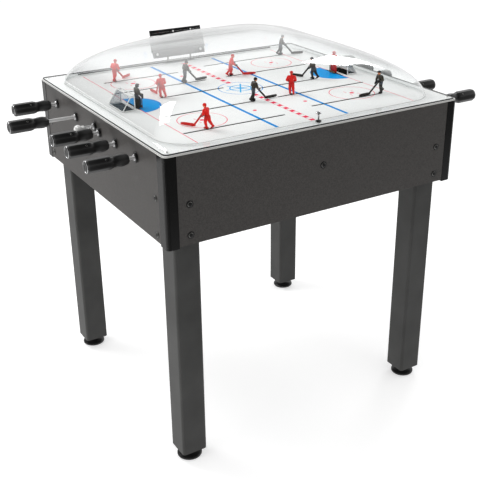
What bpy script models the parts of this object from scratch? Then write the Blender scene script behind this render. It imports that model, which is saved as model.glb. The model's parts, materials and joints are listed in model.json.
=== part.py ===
"""Dome hockey table: a cabinet on four legs, a rink under a clear dome, and rods that work the players.

X runs along the table from the dark team's end to the red team's end, Y across it, Z up from the floor.
"""
import math

import bmesh
import bpy
from mathutils import Matrix, Vector

for old_object in list(bpy.data.objects):
    bpy.data.objects.remove(old_object, do_unlink=True)

# Driving dimensions, in metres
table_length = 1.0
table_width = 0.92
cabinet_top = 1.0
cabinet_depth = 0.255
fit_gap = 0.0003
overrun = 0.002

# Cabinet
board_thickness = 0.018
batten_clearance = 0.0357
panel_setback = 0.001
post_length = 0.0354
post_width = 0.0417
post_corner_radius = 0.011
post_drop = 0.0045
bottom_panel_thickness = 0.006
bottom_panel_rise = 0.005

# Legs and levelling feet
leg_size = 0.08
leg_inset = 0.0342
leg_edge_radius = 0.008
leg_clearance = 0.033
leg_engagement = 0.15
foot_radius = 0.038
foot_height = 0.014
foot_crown_radius = 0.031
foot_nut_radius = 0.0125
foot_nut_height = 0.01
foot_stem_radius = 0.005
foot_stem_length = 0.048
foot_bore_clearance = 0.0008

# Rink bed
bed_thickness = 0.0047
bed_corner_radius = 0.012
slot_width = 0.009
slot_end_steps = 6
goal_line_share = 0.3726
goal_slot_width = 0.008
pocket_start_share = 0.388
pocket_length = 0.042
pocket_width = 0.1
pocket_depth = 0.025
pocket_wall = 0.003

# Dome
dome_height = 0.187
dome_wall = 0.003
dome_foot_x = 0.038
dome_foot_y = 0.04
dome_corner_radius = 0.1
flange_thickness = 0.003
flange_setback = 0.004
dome_plan_power = 1.75
dome_rise_power = 1.72
dome_rings = 11
dome_crown_angle = math.radians(82)
dome_blend_share = 0.5
corner_steps = 7
dome_crown_corner_share = 0.6

# Rods and their grips
rod_drop = 0.047
rod_radius = 0.005
grip_length = 0.12
grip_radius = 0.0195
grip_tip_radius = 0.017
grip_waist_radius = 0.0153
grip_bulb_radius = 0.0172
grip_end_radius = 0.0125
grip_shoulder = 0.004
grip_barrel_share = 0.55
grip_waist_share = 0.63
grip_bulb_share = 0.82
grip_clear = 0.023
bore_clearance = 0.0005
bushing_radius = 0.014
bushing_sides = 12
bushing_reach = 0.005
bushing_clearance = 0.0005
rail_thickness = 0.015
rail_height = 0.046
rail_margin = 0.05
collar_radius = 0.0075
collar_length = 0.004

# Carriages and mitre gears
gear_teeth = 8
gear_outer_cone = 0.0127
gear_inner_cone = 0.0072
gear_tip_angle = math.radians(50.5)
gear_root_angle = math.radians(35)
gear_hub_share = 0.9
gear_root_width_share = 0.44
gear_tip_width_share = 0.2
pin_radius = 0.0025
carriage_top_thickness = 0.01
carriage_width = 0.022
carriage_front = 0.012
carriage_rear_thickness = 0.004
carriage_rear_drop = 0.011
carriage_play = 0.0008
neck_half_length = 0.0085
neck_play = 0.0004

# Skaters
figure_lift = 0.0008
boss_radius = 0.0045
boss_height = 0.0035
skate_length = 0.022
skate_width = 0.005
skate_height = 0.006
stance = 0.0065
front_foot_x = 0.009
rear_foot_x = 0.011
ankle_height = 0.005
knee_height = 0.02
front_knee_x = 0.012
rear_knee_x = 0.005
hip_height = 0.036
hip_half_width = 0.004
shoulder_height = 0.057
shoulder_x = 0.009
shoulder_half_width = 0.009
ankle_radius = 0.0032
knee_radius = 0.0042
hip_radius = 0.0055
waist_depth = 0.0055
waist_width = 0.0075
chest_depth = 0.006
chest_width = 0.0095
neck_radius = 0.0035
head_radius = 0.0062
head_height = 0.0685
head_x = 0.0125
upper_arm_radius = 0.0036
forearm_radius = 0.0031
hand_radius = 0.0034
elbow_height = 0.045
elbow_x = 0.012
hand_height = 0.037
hand_x = 0.022
upper_hand_height = 0.043
upper_hand_x = 0.017
upper_hand_y = 0.005
stick_radius = 0.0016
stick_heel_x = 0.05
blade_tip_x = 0.085
blade_height = 0.0075
blade_thickness = 0.0028
blade_clear = 0.0007

# Goalies
goalie_rod_rise = 0.01
centre_row_offset = 0.033
goalie_knob_radius = 0.0117
goalie_knob_reach = 0.052
pinion_teeth = 10
pinion_pitch_radius = 0.0143
pinion_width = 0.008
pinion_addendum = 0.0022
pinion_dedendum = 0.0033
pinion_tip_share = 0.22
pinion_root_share = 0.5
goalie_travel = 0.0437
rack_width = 0.009
rack_back = 0.005
rack_spare = 0.012
dark_goalie_rest_teeth = -3
goalie_stem = 0.006
goalie_base_length = 0.02
goalie_base_width = 0.05
goalie_base_height = 0.003
goalie_height = 0.076
pad_width = 0.014
pad_depth = 0.009
pad_height = 0.036
pad_gap = 0.002
goalie_chest_width = 0.017
goalie_chest_depth = 0.009
goalie_chest_height = 0.03
goalie_blocker_size = 0.014
goalie_waist_share = 0.8
goalie_shoulder_share = 0.6
goalie_chest_rise_share = 0.75
goalie_head_radius = 0.008
goalie_arm_radius = 0.0047
goalie_stick_radius = 0.0024
goalie_stick_length = 0.03

# Goals
goal_half_width = 0.052
goal_height = 0.048
goal_mouth_share = 0.389
goal_depth = 0.043
goal_top_depth = 0.013
goal_sheet = 0.0015
goal_bar = 0.0035

# Scoreboard and its bracket
board_width = 0.21
board_flange_width = 0.203
board_bar_width = 0.2
board_flange_height = 0.027
board_face_height = 0.048
board_bar_height = 0.022
board_case_depth = 0.007
board_bar_depth = 0.0055
board_flange_thickness = 0.0015
board_eye_radius = 0.004
board_eye_inset = 0.014
board_lean = math.radians(17)
board_rise = 0.0197
board_setback = 0.039
bracket_post_size = 0.004
bracket_post_spread = 0.045
bracket_strip_length = 0.12
bracket_strip_width = 0.02
bracket_strip_thickness = 0.002

# Puck ejector
ejector_setback = 0.031
ejector_height = 0.028
ejector_head_radius = 0.0085
ejector_head_height = 0.006
ejector_stem_radius = 0.0035
ejector_hole_radius = 0.0045
ejector_tail = 0.014
ejector_stop_radius = 0.007

# Where each line of play lies: share of the width across, and shares of the length from and to
row_shares = {"left_wing": 0.3446, "left_defence": 0.1630, "right_defence": -0.1630, "right_wing": -0.3120}
slot_start_shares = {"left_wing": 0.0383, "left_defence": -0.3787, "centre": 0.0418, "right_defence": -0.3578,
                     "right_wing": 0.0754}
slot_end_shares = {"left_wing": 0.3704, "left_defence": -0.0443, "centre": 0.2700, "right_defence": -0.0338,
                   "right_wing": 0.3466}

# How far each rod is pulled out at rest, as a share of the length, and each player's heading in degrees
rest_pull_shares = {
    "dark": {"left_wing": 0, "left_defence": 0.0665, "centre": 0, "right_defence": 0,
             "right_wing": 0},
    "red": {"left_wing": 0.0665, "left_defence": 0.042, "centre": 0, "right_defence": 0.01,
            "right_wing": 0.031},
}
heading_degrees = {
    "dark": {"left_wing": -20, "left_defence": 5, "centre": 115, "right_defence": 0, "right_wing": 180},
    "red": {"left_wing": -60, "left_defence": -120, "centre": -92, "right_defence": 160, "right_wing": -150},
}

# Places worked out from the sizes
half_length = table_length / 2
half_width = table_width / 2
cabinet_bottom = cabinet_top - cabinet_depth
bed_bottom = cabinet_top + fit_gap
ice = bed_bottom + bed_thickness
flange_bottom = ice + fit_gap
flange_top = flange_bottom + flange_thickness
rod_level = cabinet_top - rod_drop
goalie_rod_level = rod_level + goalie_rod_rise
rail_centre = (rod_level + goalie_rod_level) / 2
panel_thickness = leg_inset - panel_setback - fit_gap
goal_line = goal_line_share * table_length
row_places = {line: share * table_width for line, share in row_shares.items()}
row_places["centre"] = -centre_row_offset
grip_tip = half_length + grip_clear + grip_length
gear_back = gear_outer_cone * gear_hub_share
dome_half_length = half_length - dome_foot_x
dome_half_width = half_width - dome_foot_y


def mesh_from(name, shape):
    """Turn a working shape into a mesh whose faces point out."""
    bmesh.ops.recalc_face_normals(shape, faces=shape.faces)
    mesh = bpy.data.meshes.new(name)
    shape.to_mesh(mesh)
    shape.free()
    return mesh


def loft(name, rings):
    """Closed solid through rings of equally many points, with a flat face at each end."""
    shape = bmesh.new()
    loops = [[shape.verts.new(point) for point in ring] for ring in rings]
    for lower, upper in zip(loops, loops[1:]):
        for index in range(len(lower)):
            after = (index + 1) % len(lower)
            shape.faces.new((lower[index], lower[after], upper[after], upper[index]))
    shape.faces.new(loops[0])
    shape.faces.new(loops[-1])
    return mesh_from(name, shape)


def prism(name, outline, bottom, top):
    """Flat outline raised along Z."""
    return loft(name, [[(x, y, level) for x, y in outline] for level in (bottom, top)])


def box(name, low, high):
    """Plain block between two corners."""
    outline = [(low[0], low[1]), (high[0], low[1]), (high[0], high[1]), (low[0], high[1])]
    return prism(name, outline, low[2], high[2])


def circle(radius, sides, flat=False):
    """Points round a circle; a flat one has its sides, not its corners, at the stated radius."""
    reach = radius / math.cos(math.pi / sides) if flat else radius
    turns = [math.tau * (index + 0.5) / sides for index in range(sides)]
    return [(reach * math.cos(turn), reach * math.sin(turn)) for turn in turns]


def turned(name, profile, sides, axis="Z"):
    """Turned piece: its profile lists the place along the axis and the radius there."""
    rings = []
    for place, radius in profile:
        if axis == "X":
            rings.append([(place, across, up) for across, up in circle(radius, sides)])
        else:
            rings.append([(across, along, place) for across, along in circle(radius, sides)])
    return loft(name, rings)


def bore(name, centre, radius, start, end, sides, axis="Z"):
    """Cutter for a round hole whose flats are at the stated radius."""
    rings = []
    for place in (start, end):
        points = circle(radius, sides, flat=True)
        if axis == "X":
            rings.append([(place, centre[0] + across, centre[1] + up) for across, up in points])
        else:
            rings.append([(centre[0] + across, centre[1] + along, place) for across, along in points])
    return loft(name, rings)


def limb(name, start, end, start_size, end_size, sides=4):
    """Tapered stick between two points; a size is a radius, or one along and one across."""
    start, end = Vector(start), Vector(end)
    run = (end - start).normalized()
    side = run.cross(Vector((1, 0, 0)) if abs(run.x) < abs(run.z) else Vector((0, 0, 1))).normalized()
    front = side.cross(run)
    rings = []
    for centre, size in ((start, start_size), (end, end_size)):
        deep, wide = size if isinstance(size, tuple) else (size, size)
        rings.append([centre + front * deep * across + side * wide * along
                      for across, along in circle(1, sides)])
    return loft(name, rings)


def moved(mesh, matrix):
    """Move a working mesh and hand it back."""
    mesh.transform(matrix)
    return mesh


def combined(name, meshes, operation):
    """Join the other meshes to the first, or cut them from it."""
    body = bpy.data.objects.new(name, meshes[0])
    bpy.context.collection.objects.link(body)
    tools = bpy.data.collections.new(name)
    bpy.context.scene.collection.children.link(tools)
    for mesh in meshes[1:]:
        tools.objects.link(bpy.data.objects.new(name, mesh))
    modifier = body.modifiers.new(name, "BOOLEAN")
    modifier.operation = operation
    modifier.operand_type = "COLLECTION"
    modifier.collection = tools
    modifier.solver = "EXACT"
    bpy.context.view_layer.update()
    depsgraph = bpy.context.evaluated_depsgraph_get()
    result = bpy.data.meshes.new_from_object(body.evaluated_get(depsgraph))
    for tool in list(tools.objects):
        bpy.data.objects.remove(tool, do_unlink=True)
    bpy.data.objects.remove(body, do_unlink=True)
    bpy.data.collections.remove(tools)
    return result


def joined(name, meshes):
    """One solid from several that overlap."""
    return combined(name, meshes, "UNION")


def cut(name, mesh, cutters):
    """One solid with others taken out of it."""
    return combined(name, [mesh] + cutters, "DIFFERENCE")


def make_material(name, colour, roughness, metallic=0.0, alpha=1.0):
    """Principled material for one kind of piece."""
    material = bpy.data.materials.new(name)
    material.use_nodes = True
    shader = material.node_tree.nodes["Principled BSDF"]
    shader.inputs["Base Color"].default_value = (*colour, 1)
    shader.inputs["Roughness"].default_value = roughness
    shader.inputs["Metallic"].default_value = metallic
    shader.inputs["Alpha"].default_value = alpha
    return material


def place(name, mesh, material, location=(0, 0, 0), parent=None, round_piece=False):
    """Put a piece where it belongs, under the end of the table that it is part of."""
    piece = bpy.data.objects.new(name, mesh)
    bpy.context.collection.objects.link(piece)
    piece.location = location
    piece.parent = parent
    if not mesh.materials:
        mesh.materials.append(material)
    if round_piece:
        mesh.shade_smooth()
        mesh.set_sharp_from_angle(angle=math.radians(35))
    return piece


def add_end(name, turn):
    """Empty that carries one team's end of the table; the two ends are half a turn apart."""
    end = bpy.data.objects.new(name, None)
    bpy.context.collection.objects.link(end)
    end.rotation_euler.z = turn
    return end


def rounded_rectangle(half_x, half_y, radius, steps):
    """Points round a rectangle with round corners, anticlockwise."""
    points = []
    for corner, (sign_x, sign_y) in enumerate(((1, 1), (-1, 1), (-1, -1), (1, -1))):
        for step in range(steps + 1):
            turn = math.pi / 2 * (corner + step / steps)
            points.append((sign_x * (half_x - radius) + radius * math.cos(turn),
                           sign_y * (half_y - radius) + radius * math.sin(turn)))
    return points


def stadium(start, end, across, radius):
    """Points round a straight slot with round ends, anticlockwise."""
    points = []
    for centre, first_turn in ((end - radius, -math.pi / 2), (start + radius, math.pi / 2)):
        for step in range(slot_end_steps + 1):
            turn = first_turn + math.pi * step / slot_end_steps
            points.append((centre + radius * math.cos(turn), across + radius * math.sin(turn)))
    return points


cabinet_paint = make_material("cabinet_paint", (0.045, 0.043, 0.041), 0.55)
post_plastic = make_material("post_plastic", (0.03, 0.029, 0.028), 0.4)
leg_paint = make_material("leg_paint", (0.06, 0.058, 0.056), 0.5)
foot_rubber = make_material("foot_rubber", (0.012, 0.012, 0.012), 0.6)
ice_plastic = make_material("ice_plastic", (0.82, 0.82, 0.81), 0.3)
dome_acrylic = make_material("dome_acrylic", (0.95, 0.97, 0.98), 0.05, alpha=0.2)
rod_steel = make_material("rod_steel", (0.6, 0.6, 0.6), 0.2, metallic=1.0)
carriage_plastic = make_material("carriage_plastic", (0.02, 0.02, 0.02), 0.5)
goal_paint = make_material("goal_paint", (0.8, 0.8, 0.8), 0.4)
board_plastic = make_material("board_plastic", (0.02, 0.02, 0.022), 0.35)
team_plastics = {
    "dark": make_material("dark_team_plastic", (0.045, 0.04, 0.032), 0.4),
    "red": make_material("red_team_plastic", (0.65, 0.02, 0.01), 0.4),
}


def add_corner_posts():
    """Corner post with a rounded outside corner, cut away inside where the leg stands."""
    notch = leg_inset - fit_gap
    arc_steps = 4
    outline = [(post_length, 0), (post_length, notch), (notch, notch), (notch, post_width), (0, post_width)]
    for step in range(arc_steps + 1):
        turn = math.pi / 2 * step / arc_steps
        outline.append((post_corner_radius * (1 - math.cos(turn)), post_corner_radius * (1 - math.sin(turn))))
    for end_name, sign_x in (("left", 1), ("right", -1)):
        for side_name, sign_y in (("near", 1), ("far", -1)):
            corner = [(sign_x * x, sign_y * y) for x, y in outline]
            mesh = prism("corner_post", corner, 0, cabinet_depth + post_drop)
            place(f"corner_post_{side_name}_{end_name}", mesh, post_plastic,
                  (-sign_x * half_length, -sign_y * half_width, cabinet_bottom - post_drop), round_piece=True)


def add_panels():
    """Outer boards with a batten along the inside, which the legs stand against."""
    batten_bottom = bottom_panel_rise + bottom_panel_thickness + fit_gap
    rail_bottom = rail_centre - rail_height / 2
    batten_top = rail_bottom - batten_clearance - cabinet_bottom
    profile = [(0, 0), (board_thickness, 0), (board_thickness, batten_bottom),
               (panel_thickness, batten_bottom), (panel_thickness, batten_top), (board_thickness, batten_top),
               (board_thickness, cabinet_depth), (0, cabinet_depth)]
    side_half = half_length - post_length - fit_gap
    end_half = half_width - post_width - fit_gap
    for name, sign in (("near", 1), ("far", -1)):
        rings = [[(x, sign * depth, up) for depth, up in profile] for x in (-side_half, side_half)]
        place(f"side_panel_{name}", loft("side_panel", rings), cabinet_paint,
              (0, sign * (panel_setback - half_width), cabinet_bottom))
    for name, sign in (("left", 1), ("right", -1)):
        rings = [[(sign * depth, y, up) for depth, up in profile] for y in (-end_half, end_half)]
        holes = []
        for row, level in rod_bores():
            centre = (sign * row, level - cabinet_bottom)
            start, end = sorted((-sign * overrun, sign * (board_thickness + overrun)))
            radius = bushing_radius + bushing_clearance
            holes.append(bore("bushing_hole", centre, radius, start, end, bushing_sides, axis="X"))
        mesh = cut("end_panel", loft("end_panel", rings), holes)
        face = sign * (panel_setback - half_length)
        place(f"end_panel_{name}", mesh, cabinet_paint, (face, 0, cabinet_bottom))


def rod_bores():
    """Places across and levels of the rods that leave one end."""
    places = [(row, rod_level) for row in row_places.values()]
    return places + [(0, goalie_rod_level)]


def add_bearing_rails():
    """Rail inside each end panel; its bushings reach out through the panel."""
    rail_half = half_width - rail_margin
    inner_face = panel_setback + board_thickness + fit_gap
    for name, sign in (("left", 1), ("right", -1)):
        solids = [box("rail", (inner_face, -rail_half, -rail_height / 2),
                      (inner_face + rail_thickness, rail_half, rail_height / 2))]
        bores = []
        for row, level in rod_bores():
            centre = (row, level - rail_centre)
            barrel = turned("bushing", [(panel_setback - bushing_reach, bushing_radius),
                                        (inner_face + overrun, bushing_radius)], bushing_sides, axis="X")
            solids.append(moved(barrel, Matrix.Translation((0, *centre))))
            bores.append(bore("rod_bore", centre, rod_radius + bore_clearance, -bushing_reach - overrun,
                              inner_face + rail_thickness + overrun, 8, axis="X"))
        mesh = cut("bearing_rail", joined("rail", solids), bores)
        end = dark_end if name == "left" else red_end
        place(f"bearing_rail_{name}", mesh, carriage_plastic, (-half_length, 0, rail_centre), end)


def add_bottom_panel():
    """Thin bottom sheet, let in between the boards and notched round the legs."""
    reach_x = half_length - panel_setback - board_thickness - fit_gap
    reach_y = half_width - panel_setback - board_thickness - fit_gap
    notch_x = half_length - leg_inset - leg_size - fit_gap
    notch_y = half_width - leg_inset - leg_size - fit_gap
    outline = [(reach_x, -notch_y), (reach_x, notch_y), (notch_x, notch_y), (notch_x, reach_y),
               (-notch_x, reach_y), (-notch_x, notch_y), (-reach_x, notch_y), (-reach_x, -notch_y),
               (-notch_x, -notch_y), (-notch_x, -reach_y), (notch_x, -reach_y), (notch_x, -notch_y)]
    place("bottom_panel", prism("bottom_panel", outline, 0, bottom_panel_thickness), cabinet_paint,
          (0, 0, cabinet_bottom + bottom_panel_rise))


def add_legs():
    """Square legs with eased edges, each bored for the stem of its levelling foot."""
    leg_length = cabinet_bottom + leg_engagement - leg_clearance
    outline = rounded_rectangle(leg_size / 2, leg_size / 2, leg_edge_radius, 3)
    stem_top = foot_stem_length + foot_height - leg_clearance
    hole = bore("stem_hole", (0, 0), foot_stem_radius + foot_bore_clearance, -overrun, stem_top + overrun, 8)
    leg_mesh = cut("leg", prism("leg", outline, 0, leg_length), [hole])
    nut_top = foot_height + foot_nut_height
    foot_profile = [(0, foot_crown_radius), (foot_height / 4, foot_radius),
                    (foot_height * 3 / 4, foot_radius), (foot_height, foot_crown_radius),
                    (foot_height, foot_nut_radius), (nut_top, foot_nut_radius), (nut_top, foot_stem_radius),
                    (foot_height + foot_stem_length, foot_stem_radius)]
    foot_mesh = turned("levelling_foot", foot_profile, 16)
    leg_x = half_length - leg_inset - leg_size / 2
    leg_y = half_width - leg_inset - leg_size / 2
    for end_name, sign_x in (("left", -1), ("right", 1)):
        for side_name, sign_y in (("near", -1), ("far", 1)):
            corner = f"{side_name}_{end_name}"
            place(f"leg_{corner}", leg_mesh, leg_paint, (sign_x * leg_x, sign_y * leg_y, leg_clearance),
                  round_piece=True)
            place(f"levelling_foot_{corner}", foot_mesh, foot_rubber, (sign_x * leg_x, sign_y * leg_y, 0),
                  round_piece=True)


def add_rink_bed():
    """White sheet that carries the ice: player and goalie slots and a puck pocket behind each goal line."""
    reach_x = half_length - panel_setback
    reach_y = half_width - panel_setback
    outline = rounded_rectangle(reach_x, reach_y, bed_corner_radius, 3)
    solids = [prism("bed", outline, 0, bed_thickness)]
    cutters = []
    slot_half = goalie_travel + goalie_stem / 2 + fit_gap * 2
    over_bed = bed_thickness + overrun
    pocket_start = pocket_start_share * table_length
    for sign in (1, -1):
        for line, row in row_places.items():
            slot = stadium(slot_start_shares[line] * table_length, slot_end_shares[line] * table_length,
                           row, slot_width / 2)
            outline = [(sign * x, sign * y) for x, y in slot]
            cutters.append(prism("slot", outline, -overrun, over_bed))
        cutters.append(box("goalie_slot", (sign * goal_line - goal_slot_width / 2, -slot_half, -overrun),
                           (sign * goal_line + goal_slot_width / 2, slot_half, over_bed)))
        near, far = sorted((sign * pocket_start, sign * (pocket_start + pocket_length)))
        side = pocket_width / 2
        solids.append(box("pocket", (near - pocket_wall, -side - pocket_wall, -pocket_depth - pocket_wall),
                          (far + pocket_wall, side + pocket_wall, bed_thickness / 2)))
        cutters.append(box("pocket_hollow", (near, -side, -pocket_depth), (far, side, over_bed)))
    centre = (0, ejector_setback - half_width)
    cutters.append(bore("ejector_hole", centre, ejector_hole_radius, -overrun, over_bed, 8))
    place("rink_bed", cut("rink_bed", joined("bed", solids), cutters), ice_plastic, (0, 0, bed_bottom))


def dome_outline(size_share, thickness, level):
    """Outline of the bubble at one level, in from the wall by a thickness."""
    blend = min(1.0, (1 - size_share) / dome_blend_share) ** 2
    foot_share = dome_corner_radius / dome_half_length
    corner_share = foot_share + (dome_crown_corner_share - foot_share) * blend
    half_x = dome_half_length * size_share
    half_y = dome_half_width * size_share
    points = rounded_rectangle(half_x, half_y, min(half_x * corner_share, half_y), corner_steps)
    shrink_x = 1 - thickness / dome_half_length
    shrink_y = 1 - thickness / dome_half_width
    return [(x * shrink_x, y * shrink_y, level) for x, y in points]


def dome_section(thickness, top, foot):
    """Rings of the bubble from its foot to its crown."""
    rings = []
    for index in range(dome_rings + 1):
        angle = dome_crown_angle * index / dome_rings
        size_share = math.cos(angle) ** (2 / dome_plan_power)
        rise_share = math.sin(angle) ** (2 / dome_rise_power)
        rings.append(dome_outline(size_share, thickness, foot + (top - foot) * rise_share))
    return rings


def add_dome():
    """Clear moulding: a flat flange round a domed bubble of even thickness."""
    reach_x = half_length - panel_setback - flange_setback
    reach_y = half_width - panel_setback - flange_setback
    rim = rounded_rectangle(reach_x, reach_y, bed_corner_radius, corner_steps)
    outer = dome_section(0, flange_thickness + dome_height, flange_thickness)
    inner = dome_section(dome_wall, flange_thickness + dome_height - dome_wall, 0)
    rings = list(reversed(outer))
    rings.append([(x, y, flange_thickness) for x, y in rim])
    rings.append([(x, y, 0) for x, y in rim])
    rings.extend(inner)
    centre = (0, ejector_setback - half_width)
    hole = bore("ejector_hole", centre, ejector_hole_radius, -overrun, flange_thickness + overrun, 8)
    mesh = cut("dome", loft("dome", rings), [hole])
    place("dome", mesh, dome_acrylic, (0, 0, flange_bottom), round_piece=True)


def mitre_gear(name):
    """Mitre gear about +Z whose cone has its point at the origin; one tooth is centred on the +X side."""
    pitch = math.tau / gear_teeth
    steps = ((-gear_root_width_share / 2, gear_root_angle), (-gear_tip_width_share / 2, gear_tip_angle),
             (gear_tip_width_share / 2, gear_tip_angle), (gear_root_width_share / 2, gear_root_angle))
    shape = bmesh.new()
    inner, outer = [], []
    for tooth in range(gear_teeth):
        for turn_share, angle in steps:
            turn = pitch * (tooth + turn_share)
            for ring, cone in ((inner, gear_inner_cone), (outer, gear_outer_cone)):
                reach = cone * math.sin(angle)
                point = (reach * math.cos(turn), reach * math.sin(turn), cone * math.cos(angle))
                ring.append(shape.verts.new(point))
    front = shape.verts.new((0, 0, gear_inner_cone * math.cos(gear_root_angle)))
    back = shape.verts.new((0, 0, gear_back))
    for index in range(len(inner)):
        after = (index + 1) % len(inner)
        shape.faces.new((inner[index], inner[after], outer[after], outer[index]))
        shape.faces.new((inner[after], inner[index], front))
        shape.faces.new((outer[index], outer[after], back))
    return mesh_from(name, shape)


def rod_mesh(length):
    """Steel rod with its grip at the outer end, a collar and a mitre gear at the inner end."""
    collar_front = -(gear_back + carriage_play * 2 + carriage_rear_thickness)
    collar_back = collar_front - collar_length
    tip = -length
    inner_end = tip + grip_length
    profile = [(tip, grip_tip_radius), (tip + grip_shoulder, grip_radius),
               (tip + grip_length * grip_barrel_share, grip_radius),
               (tip + grip_length * grip_waist_share, grip_waist_radius),
               (tip + grip_length * grip_bulb_share, grip_bulb_radius),
               (inner_end, grip_end_radius), (inner_end, rod_radius),
               (collar_back, rod_radius), (collar_back, collar_radius), (collar_front, collar_radius),
               (collar_front, rod_radius), (-gear_back + overrun, rod_radius)]
    gear = moved(mitre_gear("rod_gear"), Matrix.Rotation(-math.pi / 2, 4, "Y"))
    return joined("skater_rod", [turned("rod", profile, 8, axis="X"), gear])


def carriage_mesh():
    """Bracket that slides under a slot: a neck in the slot, a bore for the pin and one for the rod."""
    top = bed_bottom - fit_gap - rod_level
    plate_bottom = top - carriage_top_thickness
    neck_top = top + bed_thickness
    rear_face = -(gear_back + carriage_play)
    rear_back = rear_face - carriage_rear_thickness
    half = carriage_width / 2
    neck_half = slot_width / 2 - neck_play
    plate = box("plate", (rear_back, -half, plate_bottom), (carriage_front, half, top))
    rear = box("rear", (rear_back, -half, -carriage_rear_drop), (rear_face, half, top - fit_gap))
    neck_outline = stadium(-neck_half_length, neck_half_length, 0, neck_half)
    neck = prism("neck", neck_outline, plate_bottom + carriage_top_thickness / 2, neck_top)
    pin_hole = pin_radius + bore_clearance
    rod_hole = rod_radius + bore_clearance
    pin_bore = bore("pin_bore", (0, 0), pin_hole, plate_bottom - overrun, neck_top + overrun, 8)
    rod_bore = bore("rod_bore", (0, 0), rod_hole, rear_back - overrun, rear_face + overrun, 8, axis="X")
    return cut("carriage", joined("bracket", [plate, rear, neck]), [pin_bore, rod_bore])


def skater_figure():
    """Skater facing +X with the ice at zero: skates, legs, body, head, arms and stick."""
    solids = [turned("boss", [(0, boss_radius), (boss_height, boss_radius)], 8)]
    for side, foot_x, knee_x in ((1, front_foot_x, front_knee_x), (-1, -rear_foot_x, -rear_knee_x)):
        foot_y = side * stance
        toe = skate_length / 2
        solids.append(box("skate", (foot_x - toe, foot_y - skate_width / 2, fit_gap),
                          (foot_x + toe, foot_y + skate_width / 2, skate_height)))
        knee = (knee_x, side * stance, knee_height)
        solids.append(limb("shin", (foot_x - toe / 2, foot_y, ankle_height), knee, ankle_radius, knee_radius))
        solids.append(limb("thigh", knee, (0, side * hip_half_width, hip_height), knee_radius, hip_radius))
    tie = stance + skate_width / 2 - fit_gap
    solids.append(box("tie", (-boss_radius, -tie, 0), (boss_radius / 2, tie, boss_height - fit_gap)))
    solids.append(limb("body", (0, 0, hip_height - hip_radius), (shoulder_x, 0, shoulder_height),
                       (waist_depth, waist_width), (chest_depth, chest_width), 6))
    solids.append(limb("neck", (shoulder_x - neck_radius, 0, shoulder_height - neck_radius),
                       (head_x, 0, head_height), neck_radius, neck_radius))
    head = bmesh.new()
    bmesh.ops.create_uvsphere(head, u_segments=6, v_segments=4, radius=head_radius,
                               matrix=Matrix.Translation((head_x, 0, head_height)))
    solids.append(mesh_from("head", head))
    hands = ((1, upper_hand_x, upper_hand_y, upper_hand_height), (-1, hand_x, 0, hand_height))
    for side, reach, across, height in hands:
        shoulder = (shoulder_x, side * shoulder_half_width, shoulder_height - upper_arm_radius)
        elbow = (elbow_x, side * (shoulder_half_width + upper_arm_radius), elbow_height)
        solids.append(limb("upper_arm", shoulder, elbow, upper_arm_radius, upper_arm_radius))
        solids.append(limb("forearm", elbow, (reach, across, height), forearm_radius, hand_radius))
    heel = (stick_heel_x, 0, blade_clear + blade_height / 2)
    grip = (upper_hand_x - hand_radius, upper_hand_y, upper_hand_height + hand_radius)
    solids.append(limb("shaft", grip, heel, stick_radius, stick_radius, 4))
    solids.append(box("blade", (stick_heel_x - stick_radius, -blade_thickness / 2, blade_clear),
                      (blade_tip_x, blade_thickness / 2, blade_clear + blade_height)))
    return joined("skater", solids)


def skater_mesh(figure, heading):
    """Skater turned to a heading, with the pin under the boss and the gear at the pin's foot."""
    lift = ice + figure_lift - rod_level
    pin = turned("pin", [(gear_back - overrun, pin_radius), (lift + boss_height / 2, pin_radius)], 8)
    gear = moved(mitre_gear("pin_gear"), Matrix.Rotation(math.pi / gear_teeth, 4, "Z"))
    turn = Matrix.Translation((0, 0, lift)) @ Matrix.Rotation(math.radians(heading), 4, "Z")
    return joined("skater", [moved(figure.copy(), turn), pin, gear])


def add_skaters(team, end, figure):
    """Five rods, carriages and skaters, worked from one end."""
    bracket = carriage_mesh()
    for line, row in row_places.items():
        pushed_in = slot_end_shares[line] * table_length - neck_half_length - fit_gap
        rest_x = pushed_in - rest_pull_shares[team][line] * table_length
        centre = (rest_x, row, rod_level)
        rod = rod_mesh(pushed_in + grip_tip)
        place(f"{team}_{line}_rod", rod, rod_steel, centre, end, round_piece=True)
        place(f"{team}_{line}_carriage", bracket, carriage_plastic, centre, end)
        skater = skater_mesh(figure, heading_degrees[team][line])
        place(f"{team}_{line}_skater", skater, team_plastics[team], centre, end)


def goalie_rod_mesh():
    """Short rod with a ball knob outside and a pinion under the goal line."""
    knob = half_length + goalie_knob_reach - goal_line
    ball = bmesh.new()
    bmesh.ops.create_icosphere(ball, subdivisions=2, radius=goalie_knob_radius,
                               matrix=Matrix.Translation((-knob, 0, 0)))
    rod = turned("rod", [(-knob, rod_radius), (-pinion_width / 2 + overrun, rod_radius)], 8, axis="X")
    pitch = math.tau / pinion_teeth
    points = []
    for tooth in range(pinion_teeth):
        for turn_share, radius in ((-pinion_root_share / 2, pinion_pitch_radius - pinion_dedendum),
                                   (-pinion_tip_share / 2, pinion_pitch_radius + pinion_addendum),
                                   (pinion_tip_share / 2, pinion_pitch_radius + pinion_addendum),
                                   (pinion_root_share / 2, pinion_pitch_radius - pinion_dedendum)):
            turn = math.pi / 2 + pitch * (tooth + turn_share)
            points.append((radius * math.cos(turn), radius * math.sin(turn)))
    pinion = loft("pinion", [[(x, y, z) for y, z in points] for x in (-pinion_width / 2, pinion_width / 2)])
    return joined("goalie_rod", [rod, mesh_from("knob", ball), pinion])


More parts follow.
